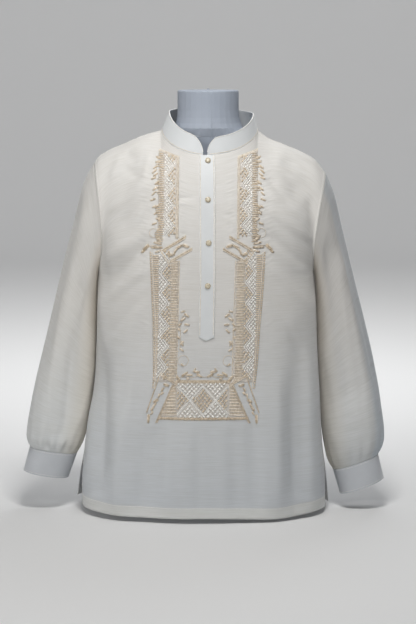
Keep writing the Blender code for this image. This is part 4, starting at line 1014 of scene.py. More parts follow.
def make_shell(name, outer, inner, material, closed=False, keep=None):
    """A thin closed shell from a grid of outer points and the matching grid of inner points."""
    rows, columns = outer.shape[:2]
    last = columns if closed else columns - 1
    row, column = np.mgrid[0:rows - 1, 0:last]
    row, column = row.ravel(), column.ravel()
    if keep is not None:
        chosen = keep[row, column]
        row, column = row[chosen], column[chosen]
    corners = [(row, column), (row, column + 1), (row + 1, column + 1), (row + 1, column)]
    along, up = outer[:-1, 1:] - outer[:-1, :-1], outer[1:, :-1] - outer[:-1, :-1]
    if (np.cross(along, up) * (outer - inner)[:-1, :-1]).sum() < 0:
        corners.reverse()
    metres = grid_metres(outer, closed)
    uv = np.stack([metres[r, c] for r, c in corners], axis=1)
    quads = np.stack([r * columns + c % columns for r, c in corners], axis=1)
    count = rows * columns
    start, end = quads.ravel(), np.roll(quads, -1, axis=1).ravel()
    open_edge = ~np.isin(start * count + end, end * count + start)
    start, end = start[open_edge], end[open_edge]
    rims = np.stack([end, start, start + count, end + count], axis=1)
    flat_uv = metres[:, :columns].reshape(-1, 2)
    rim_uv = flat_uv[rims % count]
    faces = np.concatenate([quads, quads[:, ::-1] + count, rims])
    all_uv = np.concatenate([uv, uv[:, ::-1], rim_uv])
    points = np.concatenate([outer.reshape(-1, 3), inner.reshape(-1, 3)])
    used, places = np.unique(faces, return_inverse=True)
    faces = places.reshape(faces.shape)
    return make_object(name, points[used], faces.tolist(), material, all_uv)


def soften_edges(obj, width):
    """Rounds the sharp rims of a band."""
    bevel = obj.modifiers.new("rounded_edges", "BEVEL")
    bevel.width = width
    bevel.segments = 2
    bevel.limit_method = "ANGLE"
    bevel.angle_limit = math.radians(50)


def surface_tree(points):
    """A search tree over a grid of surface points."""
    quads = grid_quads(*points.shape[:2])
    return BVHTree.FromPolygons(points.reshape(-1, 3).tolist(), quads.tolist())


def cast(tree, x, z, way=1):
    """The surface point, and its outward direction, that a level line along Y meets first."""
    point, normal, _, _ = tree.ray_cast((x, -0.4 * way, z), (0, way, 0))
    return np.array(point), np.array(normal) * (1 if normal.y * way < 0 else -1)


# The body


def body_columns(count):
    """Columns from side to side, with the ones that the slit needs."""
    line = np.linspace(-1, 1, count)
    line = line[np.abs(line) > SLIT_SHARE * 2]
    return np.sort(np.concatenate([line, [-SLIT_SHARE, SLIT_SHARE]]))


def body_rows(count):
    """Rows from the hem to the top edge, with the ones that the hem's turning and the slit need."""
    line = np.linspace(0, 2, count)
    line = line[(np.abs(line - HEM_RISE) > 0.004) & (np.abs(line - SLIT_RISE) > 0.004)]
    return np.sort(np.concatenate([line, [HEM_RISE, SLIT_RISE]]))


def make_panel(face):
    """The front or the back as one thin shell, with all that is sewn on it."""
    panel = PANEL[face]
    columns, rows = body_columns(panel["grid"][0]), body_rows(panel["grid"][1])
    points, normals = panel_surface(face, *np.meshgrid(columns, rows))
    keep = np.ones((len(rows), len(columns)), bool)
    if face == FRONT:
        middle = np.abs((columns[:-1] + columns[1:]) / 2) < SLIT_SHARE
        keep[:, :-1] = ~((rows >= SLIT_RISE - 1e-6)[:, None] & middle[None, :])
    cloth = make_shell(f"{panel['name']}_cloth", points, points - normals * THIN, CLOTH, keep=keep)
    sewn_on = make_turnings(face)
    tree = surface_tree(points)
    if face == FRONT:
        sewn_on += make_embroidery(tree)
    cut = {"flat": panel["cut"], "area": CUT_FILL * panel["cut"][0] * panel["cut"][1]}
    node = f"{panel['name']}_panel"
    stand_for(cloth, node, "cloth", held="hung", rests_on=["dress_form"], with_pieces=sewn_on, **cut)
    return tree


def make_turnings(face):
    """The cloth turned in behind the hem and beside each vent, one layer behind the panel."""
    strips = [("hem_turning", np.linspace(-1, 1, 150), np.linspace(0.0003, HEM_RISE, 8))]
    for side in (-1, 1):
        columns = side * np.linspace(1 - FACING_WIDTH, 0.9995, 8)
        rows = np.linspace(HEM_RISE + 0.001, VENT_TOP * 1.04 / UNDERARM_HEIGHT, 40)
        strips.append((f"vent_facing_{SIDE_NAMES[side]}", columns, rows))
    pieces = []
    for label, columns, rows in strips:
        points, normals = panel_surface(face, *np.meshgrid(columns, rows))
        outer = points - normals * (THIN + LAYER_GAP)
        piece = make_shell(f"{PANEL[face]['name']}_{label}", outer, outer - normals * THIN, DOUBLED)
        pieces.append(piece)
    return pieces


# Sleeves and cuffs


def body_tree():
    """A search tree over the outside of the body, for keeping the sleeves off it."""
    points, faces = [], []
    for face in (FRONT, BACK):
        columns, rows = np.linspace(-1, 1, 120), np.linspace(0, 2, 130)
        surface, _ = panel_surface(face, *np.meshgrid(columns, rows))
        faces += (grid_quads(130, 120)[:, ::-face] + len(points)).tolist()
        points += surface.reshape(-1, 3).tolist()
    return BVHTree.FromPolygons(points, faces)


def keep_off_body(side, share, turn, points, tree):
    """Moves the underside of a sleeve outward where it would come too near the body."""
    push = np.zeros(share.shape)
    for row, column in np.argwhere((np.cos(turn) < -0.2) & (share > 0.01)):
        room = 0.0004 + 0.0012 * float(ease(share[row, column] / 0.30))
        place = Vector(points[row, column])
        for _ in range(30):
            near, way, _, distance = tree.find_nearest(place)
            height = (place - near).dot(way)
            beside_edge = abs(height) < 0.97 * distance
            if height > room or height < -0.0015 or beside_edge:
                break
            place.x += side * 0.0005
        push[row, column] = abs(place.x - points[row, column, 0])
    needed = push.copy()
    for _ in range(90):
        around = (np.roll(push, 1, axis=1) + np.roll(push, -1, axis=1)) / 2
        down = push.copy()
        down[1:-1] = (push[:-2] + push[2:]) / 2
        push = np.maximum(needed, (around + down) / 2)
    points[..., 0] += side * push * ease(share / 0.04)


def make_sleeve(side, tree):
    """One sleeve, from the armhole seam to the cuff seam."""
    round_count, down_count = SLEEVE_GRID
    turns = np.arange(round_count) * 2 * math.pi / round_count
    turn, share = np.meshgrid(turns, np.linspace(0, 1, down_count))
    points, normals = sleeve_surface(side, share, turn)
    keep_off_body(side, share, turn, points, tree)
    normals[0] = armhole_ways(side, turn[0])[1]
    name = SIDE_NAMES[side]
    inner = points - normals * THIN
    sleeve = make_shell(f"{name}_sleeve", points, inner, SLEEVE_CLOTH[side], closed=True)
    cut = {"flat": SLEEVE_CUT, "area": CUT_FILL * SLEEVE_CUT[0] * SLEEVE_CUT[1]}
    held = {"held": "gathered", "rests_on": [f"{name}_cuff_band"]}
    stand_for(sleeve, f"sleeve_{name}", "cloth", **cut, **held)


def make_cuff(side):
    """A cuff: one strip round the wrist whose end laps over its start, behind the outer line."""
    turns = CUFF_START + np.linspace(0, 2 * math.pi + CUFF_LAP, 110)
    turn, fall = np.meshgrid(turns, np.linspace(0, 1, 12))
    outer, normals = cuff_surface(side, fall, turn)
    name = SIDE_NAMES[side]
    cuff = make_shell(f"{name}_cuff_band", outer, outer - normals * BAND_THIN, CUFF_PAINTED_SHADE_BAND)
    soften_edges(cuff, 0.0005)
    held = {"held": "stretched", "rests_on": [f"{name}_sleeve"]}
    stand_for(cuff, f"cuff_{name}", "band", flat=(0.25, 0.059), **held)


# Collar and plackets


def make_collar():
    """The collar band: it stands on the neckline and its ends curve down to the opening."""
    line = [(0.0, 1.0)]
    for side in (-1, 1):
        end = COLLAR_END[side]
        shares = 1 - np.linspace(0, 1, 1200)
        run = run_along(collar_base(side * shares))
        at_end = end["curve"] * np.linspace(0, 1, 26) ** 1.6
        steps = np.concatenate([at_end, np.linspace(end["curve"] + 0.002, run[-1] - 0.012, 66)])
        line += zip(side * np.interp(end["from_middle"] + steps, run, shares), steps)
    share, to_end = np.array(sorted(line)).T
    outer, walls = collar_surface(share, to_end, 18)
    collar = make_shell("collar_band", outer, outer - walls * BAND_THIN, BAND)
    soften_edges(collar, 0.0006)
    held = {"held": "stretched", "rests_on": ["front_cloth", "back_cloth"]}
    stand_for(collar, "collar", "band", flat=(0.47, 0.037), **held)
    return outer, walls


def make_plackets():
    """The placket over the slit, with its pointed end, and the plain one under it."""
    columns = np.linspace(-PLACKET_SHARE, PLACKET_SHARE, 23)
    across, rise = np.meshgrid(columns, np.linspace(PLACKET_RISE, 2, 150))
    points, way = panel_surface(FRONT, across, rise)
    way[-1] = way[-2]
    points[..., 2] -= PLACKET_POINT * (1 - np.abs(across) / PLACKET_SHARE) * ease((1.1 - rise) / 0.3) ** 2
    points[-1] = points[-1] - unit(points[-1] - points[-2]) * 0.0012
    inner = points + way * SEAM_GAP
    over = make_shell("placket_band", inner + way * BAND_THIN, inner, BAND)
    soften_edges(over, 0.0005)
    outer = points - way * (CAD_CLOTH + SEAM_GAP)
    under = make_shell("under_placket_band", outer, outer - way * THIN, BAND)
    held = {"held": "stretched", "rests_on": ["front_cloth"]}
    for piece, node in ((over, "placket"), (under, "under_placket")):
        stand_for(piece, node, "band", flat=(0.027, 0.37), **held)


# Stitches


class Stitches:
    """Many small raised stitches, gathered into one mesh."""

    ACROSS = np.array([-1.0, -0.5, 0.5, 1.0])
    RAISED = np.array([-0.15, 0.9, 0.9, -0.15])

    def __init__(self):
        self.points = []
        self.faces = []
        self.count = 0

    def add(self, stations, normals, width, height):
        """Adds stitches: each row of stations is one stitch, raised along its normals."""
        number, length = stations.shape[:2]
        along = unit(stations[:, -1:] - stations[:, :1]) + 0 * stations
        aside = unit(np.cross(along, normals))
        swell = 0.25 + 0.75 * np.sin(math.pi * np.linspace(0.06, 0.94, length)) ** 0.55
        side_step = (self.ACROSS * swell[:, None] * width / 2)[..., None]
        lift = (self.RAISED * swell[:, None] * height)[..., None]
        rings = stations[:, :, None] + aside[:, :, None] * side_step + normals[:, :, None] * lift
        self.points.append(rings.reshape(-1, 3))
        first = self.count + np.arange(number) * length * 4
        ring = (first[:, None] + np.arange(length - 1) * 4).ravel()
        for k in range(3):
            self.faces += np.stack([ring + k, ring + k + 4, ring + k + 5, ring + k + 1], axis=1).tolist()
        last = first + (length - 1) * 4
        self.faces += np.stack([first, first + 1, first + 2, first + 3], axis=1).tolist()
        self.faces += np.stack([last + 3, last + 2, last + 1, last], axis=1).tolist()
        self.count += number * length * 4

    def make(self, name, material):
        """The mesh of all the stitches, which are all thread but for the form's own seam."""
        piece = make_object(name, np.concatenate(self.points), self.faces, material)
        return piece


def stitch_rows(points, normals, pitch, length):
    """Stitches along a line of surface points, with their normals."""
    run = run_along(points)
    stops = np.arange(pitch / 2, run[-1] - pitch / 2, pitch)
    spread = stops[:, None] + np.linspace(-length / 2, length / 2, 3)[None, :]
    return at_runs(spread, run, points), unit(at_runs(spread, run, normals))


class Bib:
    """Draws with stitches on the front cloth, at places seen from the front."""

    def __init__(self, tree):
        self.tree = tree
        self.random = np.random.default_rng(11)
        self.threads = {}

    def seat(self, flat):
        """The cloth's points and normals behind an array of (x, z) places."""
        points = np.zeros(flat.shape[:-1] + (3,))
        normals = np.zeros_like(points)
        for place in np.ndindex(flat.shape[:-1]):
            points[place], normals[place] = cast(self.tree, *flat[place])
        return points, normals

    def sew(self, thread, starts, ends, width, height, stations=4):
        """Sews straight stitches from starts to ends."""
        starts, ends = np.array(starts, float), np.array(ends, float)
        share = np.linspace(0, 1, stations)[None, :, None]
        points, normals = self.seat(starts[:, None] + (ends - starts)[:, None] * share)
        stitches = self.threads.setdefault(thread, Stitches())
        stitches.add(points + normals * STITCH_LIFT, normals, width, height)

    def walk(self, path, pitch):
        """Evenly spaced points and directions along a path."""
        path = np.array(path, float)
        run = run_along(path)
        stops = np.arange(pitch / 2, run[-1], pitch)
        ahead, behind = [at_runs(stops + step, run, path) for step in (pitch / 4, -pitch / 4)]
        return at_runs(stops, run, path), unit(ahead - behind)

    def satin(self, thread, path, width, pitch, slant=0.0, height=0.0007):
        """A band of stitches laid across a path."""
        points, along = self.walk(path, pitch)
        across = np.stack([-along[:, 1], along[:, 0]], axis=1)
        half = across * width / 2 + along * slant * width / 2
        self.sew(thread, points - half, points + half, pitch * 0.88, height)

    def chain(self, thread, path, pitch, width, height=0.0007, fill=0.96):
        """A line of stitches along a path, each one filling a share of its pitch."""
        points, along = self.walk(path, pitch)
        half = along * pitch * fill / 2
        self.sew(thread, points - half, points + half, width, height)

    def leaf(self, base, tip, width):
        """A leaf of long satin stitches, the upper one paler as a painted highlight on the edge facing
        the light.
        """
        along = unit(tip - base)
        across = np.array([-along[1], along[0]])
        across = across * (1 if across[1] > 0 else -1)
        width = width * LEAF_SWELL
        count = max(2, round(width / 0.0019))
        for k in range(count):
            offset = across * width * ((k + 0.5) / count - 0.5)
            trim = along * np.linalg.norm(tip - base) * 0.10 * abs(2 * (k + 0.5) / count - 1)
            # the pale thread on the upper stitch is a painted highlight
            thread = "tan" if k < count - 1 else "pale"
            start, end = base + offset + trim, tip + offset * 0.7 - trim
            self.sew(thread, [start], [end], width / count * 1.2, 0.0015, stations=6)

    def grains(self, thread, inside, box, pitch, size, turn):
        """Short fat stitches in staggered rows, wherever the place is inside a shape."""
        left, low, right, high = box
        starts, ends = [], []
        for row, z in enumerate(np.arange(low, high, pitch[1])):
            for column, x in enumerate(np.arange(left + (row % 2) * pitch[0] / 2, right, pitch[0])):
                place = np.array([x, z]) + self.random.normal(0, 0.00025, 2)
                angle = turn * (1 if (row + column) % 2 else -1) + self.random.normal(0, 0.12)
                half = np.array([math.cos(angle), math.sin(angle)]) * size[0] / 2
                if inside(*place):
                    starts.append(place - half)
                    ends.append(place + half)
        self.sew(thread, starts, ends, size[1], size[2])

    def rungs(self, thread, starts, ends, width, height, wander=0.0006):
        """Level stitches like the rungs of a ladder, a little uneven at both ends."""
        starts, ends = np.array(starts, float), np.array(ends, float)
        starts[:, 0] += self.random.normal(0, wander, len(starts))
        ends[:, 0] += self.random.normal(0, wander, len(ends))
        ends[:, 1] += self.random.normal(0, wander / 2, len(ends))
        self.sew(thread, starts, ends, width, height, stations=7)

    def ground(self, name, corners, columns, rows):
        """Doubled cloth behind one part of the embroidery: corners run round from its lower left."""
        u, v = np.meshgrid(np.linspace(0, 1, columns), np.linspace(0, 1, rows))
        low_left, low_right, high_right, high_left = [np.array(corner) for corner in corners]
        low = low_left + (low_right - low_left) * u[..., None]
        high = high_left + (high_right - high_left) * u[..., None]
        points, normals = self.seat(low + (high - low) * v[..., None])
        ground = make_shell(name, points + normals * 0.00034, points + normals * 0.00012, GROUND)
        return ground

    def finish(self, name, node):
        """Turns the gathered stitches into meshes that stand for the node."""
        made = []
        for thread, stitches in self.threads.items():
            made.append(stitches.make(f"{name}_{thread}_stitches", THREADS[thread]))
            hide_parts(node)
        return made


def band_places(side, path):
    """Reach and height pairs of one side, as seen from the front."""
    reach, height = np.array(path, float).T
    return np.stack([BIB_MIDDLE.read("x", height) + side * reach, height], axis=1)


def side_line(side, reach, height):
    """The same from arrays of reaches and heights, either of which may be one number."""
    return band_places(side, np.stack(np.broadcast_arrays(reach, height), axis=1))


def upper_top(reach):
    """The slanted top of the bands beside the placket."""
    return UPPER_TOP + (reach - UPPER_BAND["border"]) * UPPER_SLOPE


def sew_zigzag_band(bib, side, inner, outer, low, high, step):
    """A doubled white zigzag, with white grains on its outer side and tan ones on its inner side."""
    heights = np.arange(high, low - step / 4, -step)
    corners = np.where(np.arange(len(heights)) % 2, inner, outer)
    for shift in (-0.0024, 0.0024):
        bib.chain("ivory", side_line(side, corners + shift, heights), 0.0042, 0.0020, 0.0016)

    def offset(x, z):
        reach = side * (x - BIB_MIDDLE.read("x", z))
        away = abs(1 - ((high - z) / step) % 2)
        return reach, inner + (outer - inner) * away

    def beyond(x, z):
        reach, line = offset(x, z)
        return line + 0.0030 < reach < outer + 0.0020 and low < z < high

    def within(x, z):
        reach, line = offset(x, z)
        return inner - 0.0030 < reach < line - 0.0026 and low < z < high

    middle = float(BIB_MIDDLE.read("x", (low + high) / 2))
    edges = sorted(middle + side * reach for reach in (inner, outer))
    box = (edges[0] - 0.006, low, edges[1] + 0.006, high)
    bib.grains("ivory", beyond, box, (0.0066, 0.0042), (0.0044, 0.0029, 0.0018), math.radians(48))
    bib.grains("tan", within, box, (0.0068, 0.0046), (0.0048, 0.0032, 0.0021), math.radians(50))


def sew_upper_band(bib, side):
    """One of the two bands beside the placket."""
    band = UPPER_BAND
    border = [(band["border"], UPPER_LOW - 0.006), (band["border"], upper_top(band["border"]))]
    bib.satin("pale", band_places(side, border), 0.0058, 0.0020)
    slanted = [(reach, upper_top(reach) + 0.0010) for reach in (0.0560, 0.0955)]
    bib.satin("pale", band_places(side, slanted), 0.0058, 0.0022, slant=0.4)
    sew_zigzag_band(bib, side, band["zig_in"], band["zig_out"], UPPER_LOW, UPPER_HIGH, UPPER_STEP)
    heights = np.arange(UPPER_LOW - 0.012, upper_top(band["ladder_in"]), 0.0034)
    scallop = band["ladder_out"] - 0.0075 * np.abs(np.sin((heights - 0.645) * math.pi / 0.046))
    starts = side_line(side, band["ladder_in"], heights)
    ends = side_line(side, scallop, heights + 0.0008)
    bib.rungs("tan", starts, ends, 0.0021, 0.0013, wander=0.0012)


def sew_lower_band(bib, side):
    """One of the two bands from the crossing bars down to the base."""
    band = LOWER_BAND
    heights = np.linspace(0.262, 0.525, 24)
    outer = LOWER_OUTER.read("reach", heights)
    bib.chain("tan", side_line(side, outer, heights), 0.0048, 0.0034, 0.0017, fill=0.62)
    bib.chain("pale", side_line(side, outer - 0.0036, heights), 0.0041, 0.0016, 0.0009)
    rows = np.arange(LOWER_LOW + 0.006, 0.518, 0.0041)
    starts = side_line(side, band["zig_out"] + 0.0022, rows)
    ends = side_line(side, LOWER_OUTER.read("reach", rows) - 0.0046, rows)
    bib.rungs("tan", starts, ends, 0.0022, 0.0010, wander=0.0003)
    sew_zigzag_band(bib, side, band["zig_in"], band["zig_out"], LOWER_LOW, LOWER_HIGH, LOWER_STEP)
    rows = np.arange(LOWER_LOW - 0.002, 0.5070, 0.0050)
    for thread, shift, width in (("pale", 0.0, 0.0022), ("tan", 0.0024, 0.0014)):
        starts = side_line(side, band["inner"] + 0.0022, rows + shift)
        ends = side_line(side, band["ladder_out"] - 0.0004, rows + shift)
        bib.rungs(thread, starts, ends, width, 0.0010, wander=0.0010)
    edge = np.array([LOWER_LOW - 0.004, 0.509])
    bib.chain("pale", side_line(side, band["inner"], edge), 0.0030, 0.0014)


def sew_base(bib):
    """The wide panel across below the placket, with its diamond."""
    middle_height = (BASE_LOW + BASE_HIGH) / 2
    centre = float(BIB_MIDDLE.read("x", middle_height))
    rise = (BASE_HIGH - BASE_LOW) / 2 - 0.003
    lattice = 2 * DIAMOND_HALF

    def at(x, z):
        return np.stack(np.broadcast_arrays(centre + np.array(x), z), axis=1)

    def half_width(z):
        share = (z - BASE_LOW) / (BASE_HIGH - BASE_LOW)
        return BASE_HALF_LOW + (BASE_HALF_TOP - BASE_HALF_LOW) * share

    def depth_in_diamond(x, z):
        nearest = min(abs(x - centre - k * lattice) for k in (-1, 0, 1))
        return nearest / DIAMOND_HALF + abs(z - middle_height) / rise

    def in_white(x, z):
        return abs(x - centre) < lattice + 0.001 and depth_in_diamond(x, z) > 1.12

    def in_tan(x, z):
        return abs(x - centre) < lattice - 0.001 and depth_in_diamond(x, z) < 0.88

    bib.satin("tan", at([-0.0530, 0.0530], BASE_HIGH + 0.0050), 0.0072, 0.0023, slant=0.5)
    waves = np.linspace(-BASE_HALF_LOW - 0.002, BASE_HALF_LOW + 0.002, 70)
    scallops = BASE_LOW - 0.0040 - 0.0010 * np.abs(np.sin(waves * math.pi / 0.0130))
    bib.satin("tan", at(waves, scallops), 0.0056, 0.0026, slant=0.6, height=0.0010)
    rows = np.arange(BASE_LOW + 0.003, BASE_HIGH - 0.002, 0.0060)
    for way in (-1, 1):
        for shift in (0.0, 0.0026):
            reach = np.array([BASE_HALF_TOP - shift, 0.0905 - shift])
            bib.satin("tan", at(way * reach, (BASE_HIGH - 0.002, 0.1960)), 0.0022, 0.0022, slant=0.5)
        outer = at([way * 0.0820, way * 0.1075], (0.2900, 0.2160))
        bib.satin("tan", outer, 0.0024, 0.0024, slant=0.6)
        for thread, low, high, trim, width, height in BASE_RUNGS:
            starts = at(way * (lattice + 0.0015), rows + low)
            ends = at(way * (half_width(rows) - trim), rows + high)
            bib.rungs(thread, starts, ends, width, height)
        for turn in (-1, 1):
            heights = middle_height + np.array([turn * rise, -turn * rise])
            for shift in (-0.0014, 0.0014):
                bib.chain("ivory", at([way * lattice, 0], heights + shift), 0.0040, 0.0018, 0.0010)
    box = (centre - lattice - 0.002, BASE_LOW, centre + lattice + 0.002, BASE_HIGH + 0.001)
    bib.grains("ivory", in_white, box, (0.0088, 0.0048), (0.0054, 0.0034, 0.0020), math.radians(45))
    bib.grains("tan", in_tan, box, (0.0074, 0.0050), (0.0050, 0.0034, 0.0021), math.radians(50))


def sew_sprigs(bib, side):
    """Leaves, stems, rings and crossing bars of one side."""
    for stem in STEMS:
        bib.chain("tan", band_places(side, stem), 0.0030, 0.0012, 0.0006)
    turns = np.linspace(0, 2 * math.pi, 40)
    for row in RINGS.rows():
        reach = row["reach"] + row["radius"] * np.cos(turns)
        height = row["height"] + row["radius"] * np.sin(turns)
        bib.chain("pale", side_line(side, reach, height), 0.0026, 0.0012, 0.0006)
    for row in LEAVES.rows():
        ends = [(row["reach"], row["height"]), (row["tip_reach"], row["tip_height"])]
        bib.leaf(*band_places(side, ends), row["width"])
    for bar in BARS:
        for thread, shift, width, height in BAR_THREADS:
            path = band_places(side, [(reach, z + shift) for reach, z in bar])
            bib.satin(thread, path, width, 0.0022, slant=0.8, height=height)


def make_embroidery(tree):
    """The bib: its doubled ground, and its tan, pale and ivory stitches."""
    pieces = []
    low_out, high_out = [float(LOWER_OUTER.read("reach", height)) for height in (0.275, 0.522)]
    upper = [(0.0560, 0.556), (0.0950, 0.562), (0.0950, upper_top(0.0950)), (0.0560, upper_top(0.0560))]
    lower = [(0.0520, 0.275), (low_out, 0.275), (high_out, 0.522), (0.0530, 0.508)]
    for side, name in SIDE_NAMES.items():
        bib = Bib(tree)
        pieces.append(bib.ground(f"{name}_upper_ground", band_places(side, upper), 16, 50))
        pieces.append(bib.ground(f"{name}_lower_ground", band_places(side, lower), 18, 80))
        sew_upper_band(bib, side)
        sew_lower_band(bib, side)
        sew_sprigs(bib, side)
        pieces += bib.finish(name, f"embroidery_{name}")
    bib = Bib(tree)
    centre = float(BIB_MIDDLE.read("x", (BASE_LOW + BASE_HIGH) / 2))
    low, high = BASE_LOW - 0.004, BASE_HIGH + 0.006
    corners = [(-BASE_HALF_LOW, low), (BASE_HALF_LOW, low), (BASE_HALF_TOP, high), (-BASE_HALF_TOP, high)]
    pieces.append(bib.ground("base_ground", [(centre + x, z) for x, z in corners], 50, 24))
    sew_base(bib)
    return pieces + bib.finish("base", "embroidery_base")


# Buttons

# Each ring of a button's dome, from its top: a share of the radius, and the height
BUTTON_RINGS = ((0.34, 0.00300), (0.70, 0.00235), (0.94, 0.00135), (1.0, 0.00065), (0.88, 0.0))
BUTTON_SIDES = 12


def make_button(name, seat, way, node):
    """A button with a faceted dome, standing on its seat. Some of its facets are darker."""
    first = unit(np.cross(way, UP))
    second = np.cross(way, first)
    points, faces = [], []
    for ring, (share, height) in enumerate(BUTTON_RINGS):
        for k in range(BUTTON_SIDES):
            turn = 2 * math.pi * (k + 0.5 * (1 - ring % 2)) / BUTTON_SIDES
            spoke = first * math.cos(turn) + second * math.sin(turn)
            points.append(seat + spoke * share * BUTTON_RADIUS + way * height)
    for ring in range(len(BUTTON_RINGS) - 1):
        for k in range(BUTTON_SIDES):
            a, b = ring * BUTTON_SIDES + k, ring * BUTTON_SIDES + (k + 1) % BUTTON_SIDES
            c, d = a + BUTTON_SIDES, b + BUTTON_SIDES
            faces += [(a, b, c), (b, d, c)] if ring % 2 else [(a, b, d), (a, d, c)]
    faces.append(tuple(reversed(range(BUTTON_SIDES))))
    faces.append(tuple(range(len(points) - BUTTON_SIDES, len(points))))
    button = make_object(name, np.array(points), faces, BUTTON_FACE)
    button.data.materials.append(BUTTON_EDGE)
    for number, polygon in enumerate(button.data.polygons):
        ring, place = divmod(number, 2 * BUTTON_SIDES)
        darker = (ring == 0 and place % 4 == 0) or (ring == 1 and place % 2 == 0) or ring == 2
        polygon.material_index = int(darker)
    button.data.shade_flat()
    rim = button.modifiers.new("soft_facets", "BEVEL")
    rim.width = 0.00018
    rim.segments = 2
    stand_for(button, node, "button")


def make_buttons(tree):
    """Four down the placket and one behind each cuff."""
    for number, (height, aside) in enumerate(zip(BUTTON_HEIGHTS, BUTTON_OFFSETS), 1):
        point, normal = cast(tree, aside, height)
        seat = point + normal * (SEAM_GAP + BAND_THIN + BUTTON_GAP)
        make_button(f"placket_button_{number}", seat, unit(normal), f"button_{number}")
    for side, name in SIDE_NAMES.items():
        lap_middle = np.array(CUFF_START + 2 * math.pi + CUFF_LAP * 0.45)
        seat, way = cuff_surface(side, 0.5, lap_middle)
        make_button(f"{name}_cuff_fastener", seat + way * BUTTON_GAP, way, f"cuff_button_{name}")


# Seams


def make_seams():
    """Single stitches along the hems, vents, shoulders, armholes and bands."""
    seams = Stitches()

    def run_line(points, normals):
        seams.add(*stitch_rows(points, normals, 0.0027, 0.0020), 0.0006, 0.00035)

    def on_panel(face, across, rise):
        run_line(*panel_surface(face, *map(np.array, np.broadcast_arrays(across, rise))))

    for face in (FRONT, BACK):
        on_panel(face, np.linspace(-0.995, 0.995, 300), (HEM_DEPTH - 0.0015) / UNDERARM_HEIGHT)
        for side in (-1, 1):
            up = np.linspace((HEM_DEPTH + 0.001) / UNDERARM_HEIGHT, VENT_TOP / UNDERARM_HEIGHT, 90)
            on_panel(face, side * (1 - FACING_WIDTH + 0.004), up)
            on_panel(face, side * np.linspace(NECK_SHARE + 0.01, 0.985, 120), 1.975)
            on_panel(face, side * 0.975, np.linspace(1.01, 1.985, 160))
    turn = CUFF_START + np.linspace(0.03, 2 * math.pi + CUFF_LAP - 0.03, 240)
    for side in (-1, 1):
        for fall in (0.05, 0.94):
            run_line(*cuff_surface(side, fall, turn))
    outer, walls = collar_surface(np.linspace(-0.93, 0.93, 400), np.full(400, 0.05), 30)
    for row in (1, 28):
        run_line(outer[row], walls[row])
    seams.make("seam_stitches", SEAM_THREAD)


def make_edge_lines(outer, walls):
    """Fine cords: white piping on the collar's top edge and beside the placket's edges, its white against
    the greyer band a painted highlight along those edges, and cream lines at the collar's base and on the
    placket.
    """
    piping, cream = Stitches(), Stitches()
    top = outer[-1] - unit(outer[-1] - outer[-2]) * 0.0008
    piping.add(*stitch_rows(top[1:-1], walls[-1][1:-1], 0.0026, 0.0029), 0.0019, 0.0008)
    cream.add(*stitch_rows(outer[1][4:-4], walls[1][4:-4], 0.0026, 0.0028), 0.0012, 0.0005)
    rows = np.linspace(PLACKET_RISE + 0.008, 1.994, 260)
    for side in (-1, 1):
        for inset, lines, width in ((0.0028, piping, 0.0015), (0.0066, cream, 0.0009)):
            points, normals = panel_surface(FRONT, np.full(260, side * (PLACKET_SHARE - inset)), rows)
            points = points + normals * (SEAM_GAP + BAND_THIN)
            lines.add(*stitch_rows(points, normals, 0.0030, 0.0031), width, 0.0005)
    piping.make("white_piping_painted_highlight", SEAM_THREAD)
    cream.make("cream_edge_lines", THREADS["pale"])


# The form


def finish_form():
    """Paint for the form, and the fine raised seams up the front and the back of its neck."""
    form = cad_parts["dress_form"]
    for place in form.material_slots:
        place.material = FORM_PAINT
    tree = BVHTree.FromObject(form, bpy.context.evaluated_depsgraph_get())
    seam = Stitches()
    for x, way in ((0.0075, 1), (0.0020, -1)):
        line = [cast(tree, x, height, way) for height in np.linspace(0.722, 0.8235, 40)]
        points, normals = map(np.array, zip(*line))
        seam.add(points[None], normals[None], 0.0030, 0.0009)
    seam.make("neck_seam", FORM_PAINT)


# The stage


def make_stage():
    """A pale round floor that curves up into a wall, the same from every side."""
    flat, curve, height, around = 4.6, 1.6, 6.0, 64
    profile = [(share * flat, 0.0) for share in (0.02, 0.2, 0.5, 1.0)]
    for k in range(1, 13):
        angle = math.radians(90 * k / 12)
        profile.append((flat + curve * math.sin(angle), curve - curve * math.cos(angle)))
    profile.append((flat + curve, height))
    turns = [2 * math.pi * k / around for k in range(around)]
    points = [(r * math.cos(turn), r * math.sin(turn), z) for r, z in profile for turn in turns]
    faces = [tuple(range(around))]
    for first in range(0, (len(profile) - 1) * around, around):
        for k in range(around):
            after = (k + 1) % around
            faces.append((first + k, first + around + k, first + around + after, first + after))
    paper = Shader("backdrop_paper", Roughness=0.9, Base_Color=(0.80, 0.80, 0.80, 1))
    mesh_object("backdrop", np.array(points), faces, paper.material)


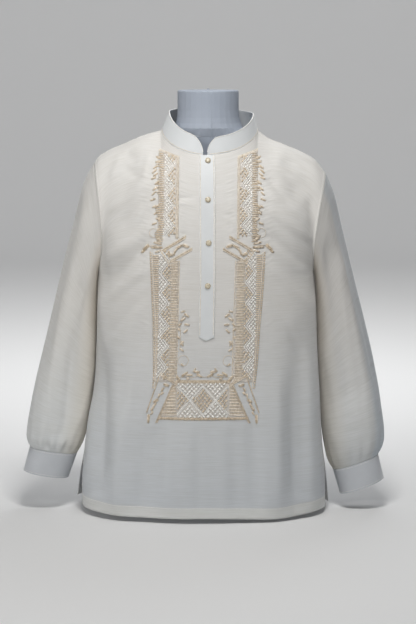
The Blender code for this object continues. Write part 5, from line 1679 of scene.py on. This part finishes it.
CAMERA_PLACE = (0.001, -4.0, 0.91976)
CAMERA_TILT = math.radians(82.5)
CAMERA_LENS = 118.33
SENSOR = 36.0

LIGHTS = Table(
    "x y z aim_x aim_y aim_z size power red green blue",
    [
        (50, -950, 2150, -20, 0, 600, 0.5, 25, 1, 0.99, 0.97),
        (-1800, -2100, 900, -50, 0, 350, 1.2, 14, 1, 0.99, 0.97),
        (2200, -1600, 2000, 0, 0, 750, 1.4, 1.2, 0.86, 0.93, 1),
        (400, 1400, 2100, 0, 0, 550, 1, 9, 0.94, 0.97, 1),
        (0, 1200, 2600, 0, 5000, 600, 2, 75, 1, 1, 1),
    ],
)
AMBIENT = 0.13


def make_camera_and_lights():
    """The photograph's view, with a soft key light from above and the left."""
    camera = link_object("camera", bpy.data.cameras.new("camera"))
    camera.location = CAMERA_PLACE
    camera.rotation_euler = (CAMERA_TILT, 0, 0)
    camera.data.lens = CAMERA_LENS
    camera.data.sensor_width = SENSOR
    bpy.context.scene.camera = camera
    for number, row in enumerate(LIGHTS.rows()):
        lamp = bpy.data.lights.new(f"light_{number}", "AREA")
        lamp.energy = row["power"]
        lamp.size = row["size"]
        lamp.color = [row[name] for name in ("red", "green", "blue")]
        light = link_object(lamp.name, lamp)
        light.location = [row[name] for name in ("x", "y", "z")]
        aim = Vector([row[name] for name in ("aim_x", "aim_y", "aim_z")]) - light.location
        light.rotation_euler = aim.to_track_quat("-Z", "Y").to_euler()
    world = bpy.data.worlds.new("studio")
    world.use_nodes = True
    sky = world.node_tree.nodes["Background"]
    sky.inputs["Color"].default_value = (0.93, 0.96, 1.0, 1)
    sky.inputs["Strength"].default_value = AMBIENT
    bpy.context.scene.world = world
    bpy.context.scene.view_settings.view_transform = "Standard"


def main():
    """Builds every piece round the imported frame."""
    front_tree = make_panel(FRONT)
    make_panel(BACK)
    make_buttons(front_tree)
    make_seams()
    tree = body_tree()
    for side in (-1, 1):
        make_sleeve(side, tree)
        make_cuff(side)
    make_edge_lines(*make_collar())
    make_plackets()
    finish_form()
    make_stage()
    make_camera_and_lights()


main()
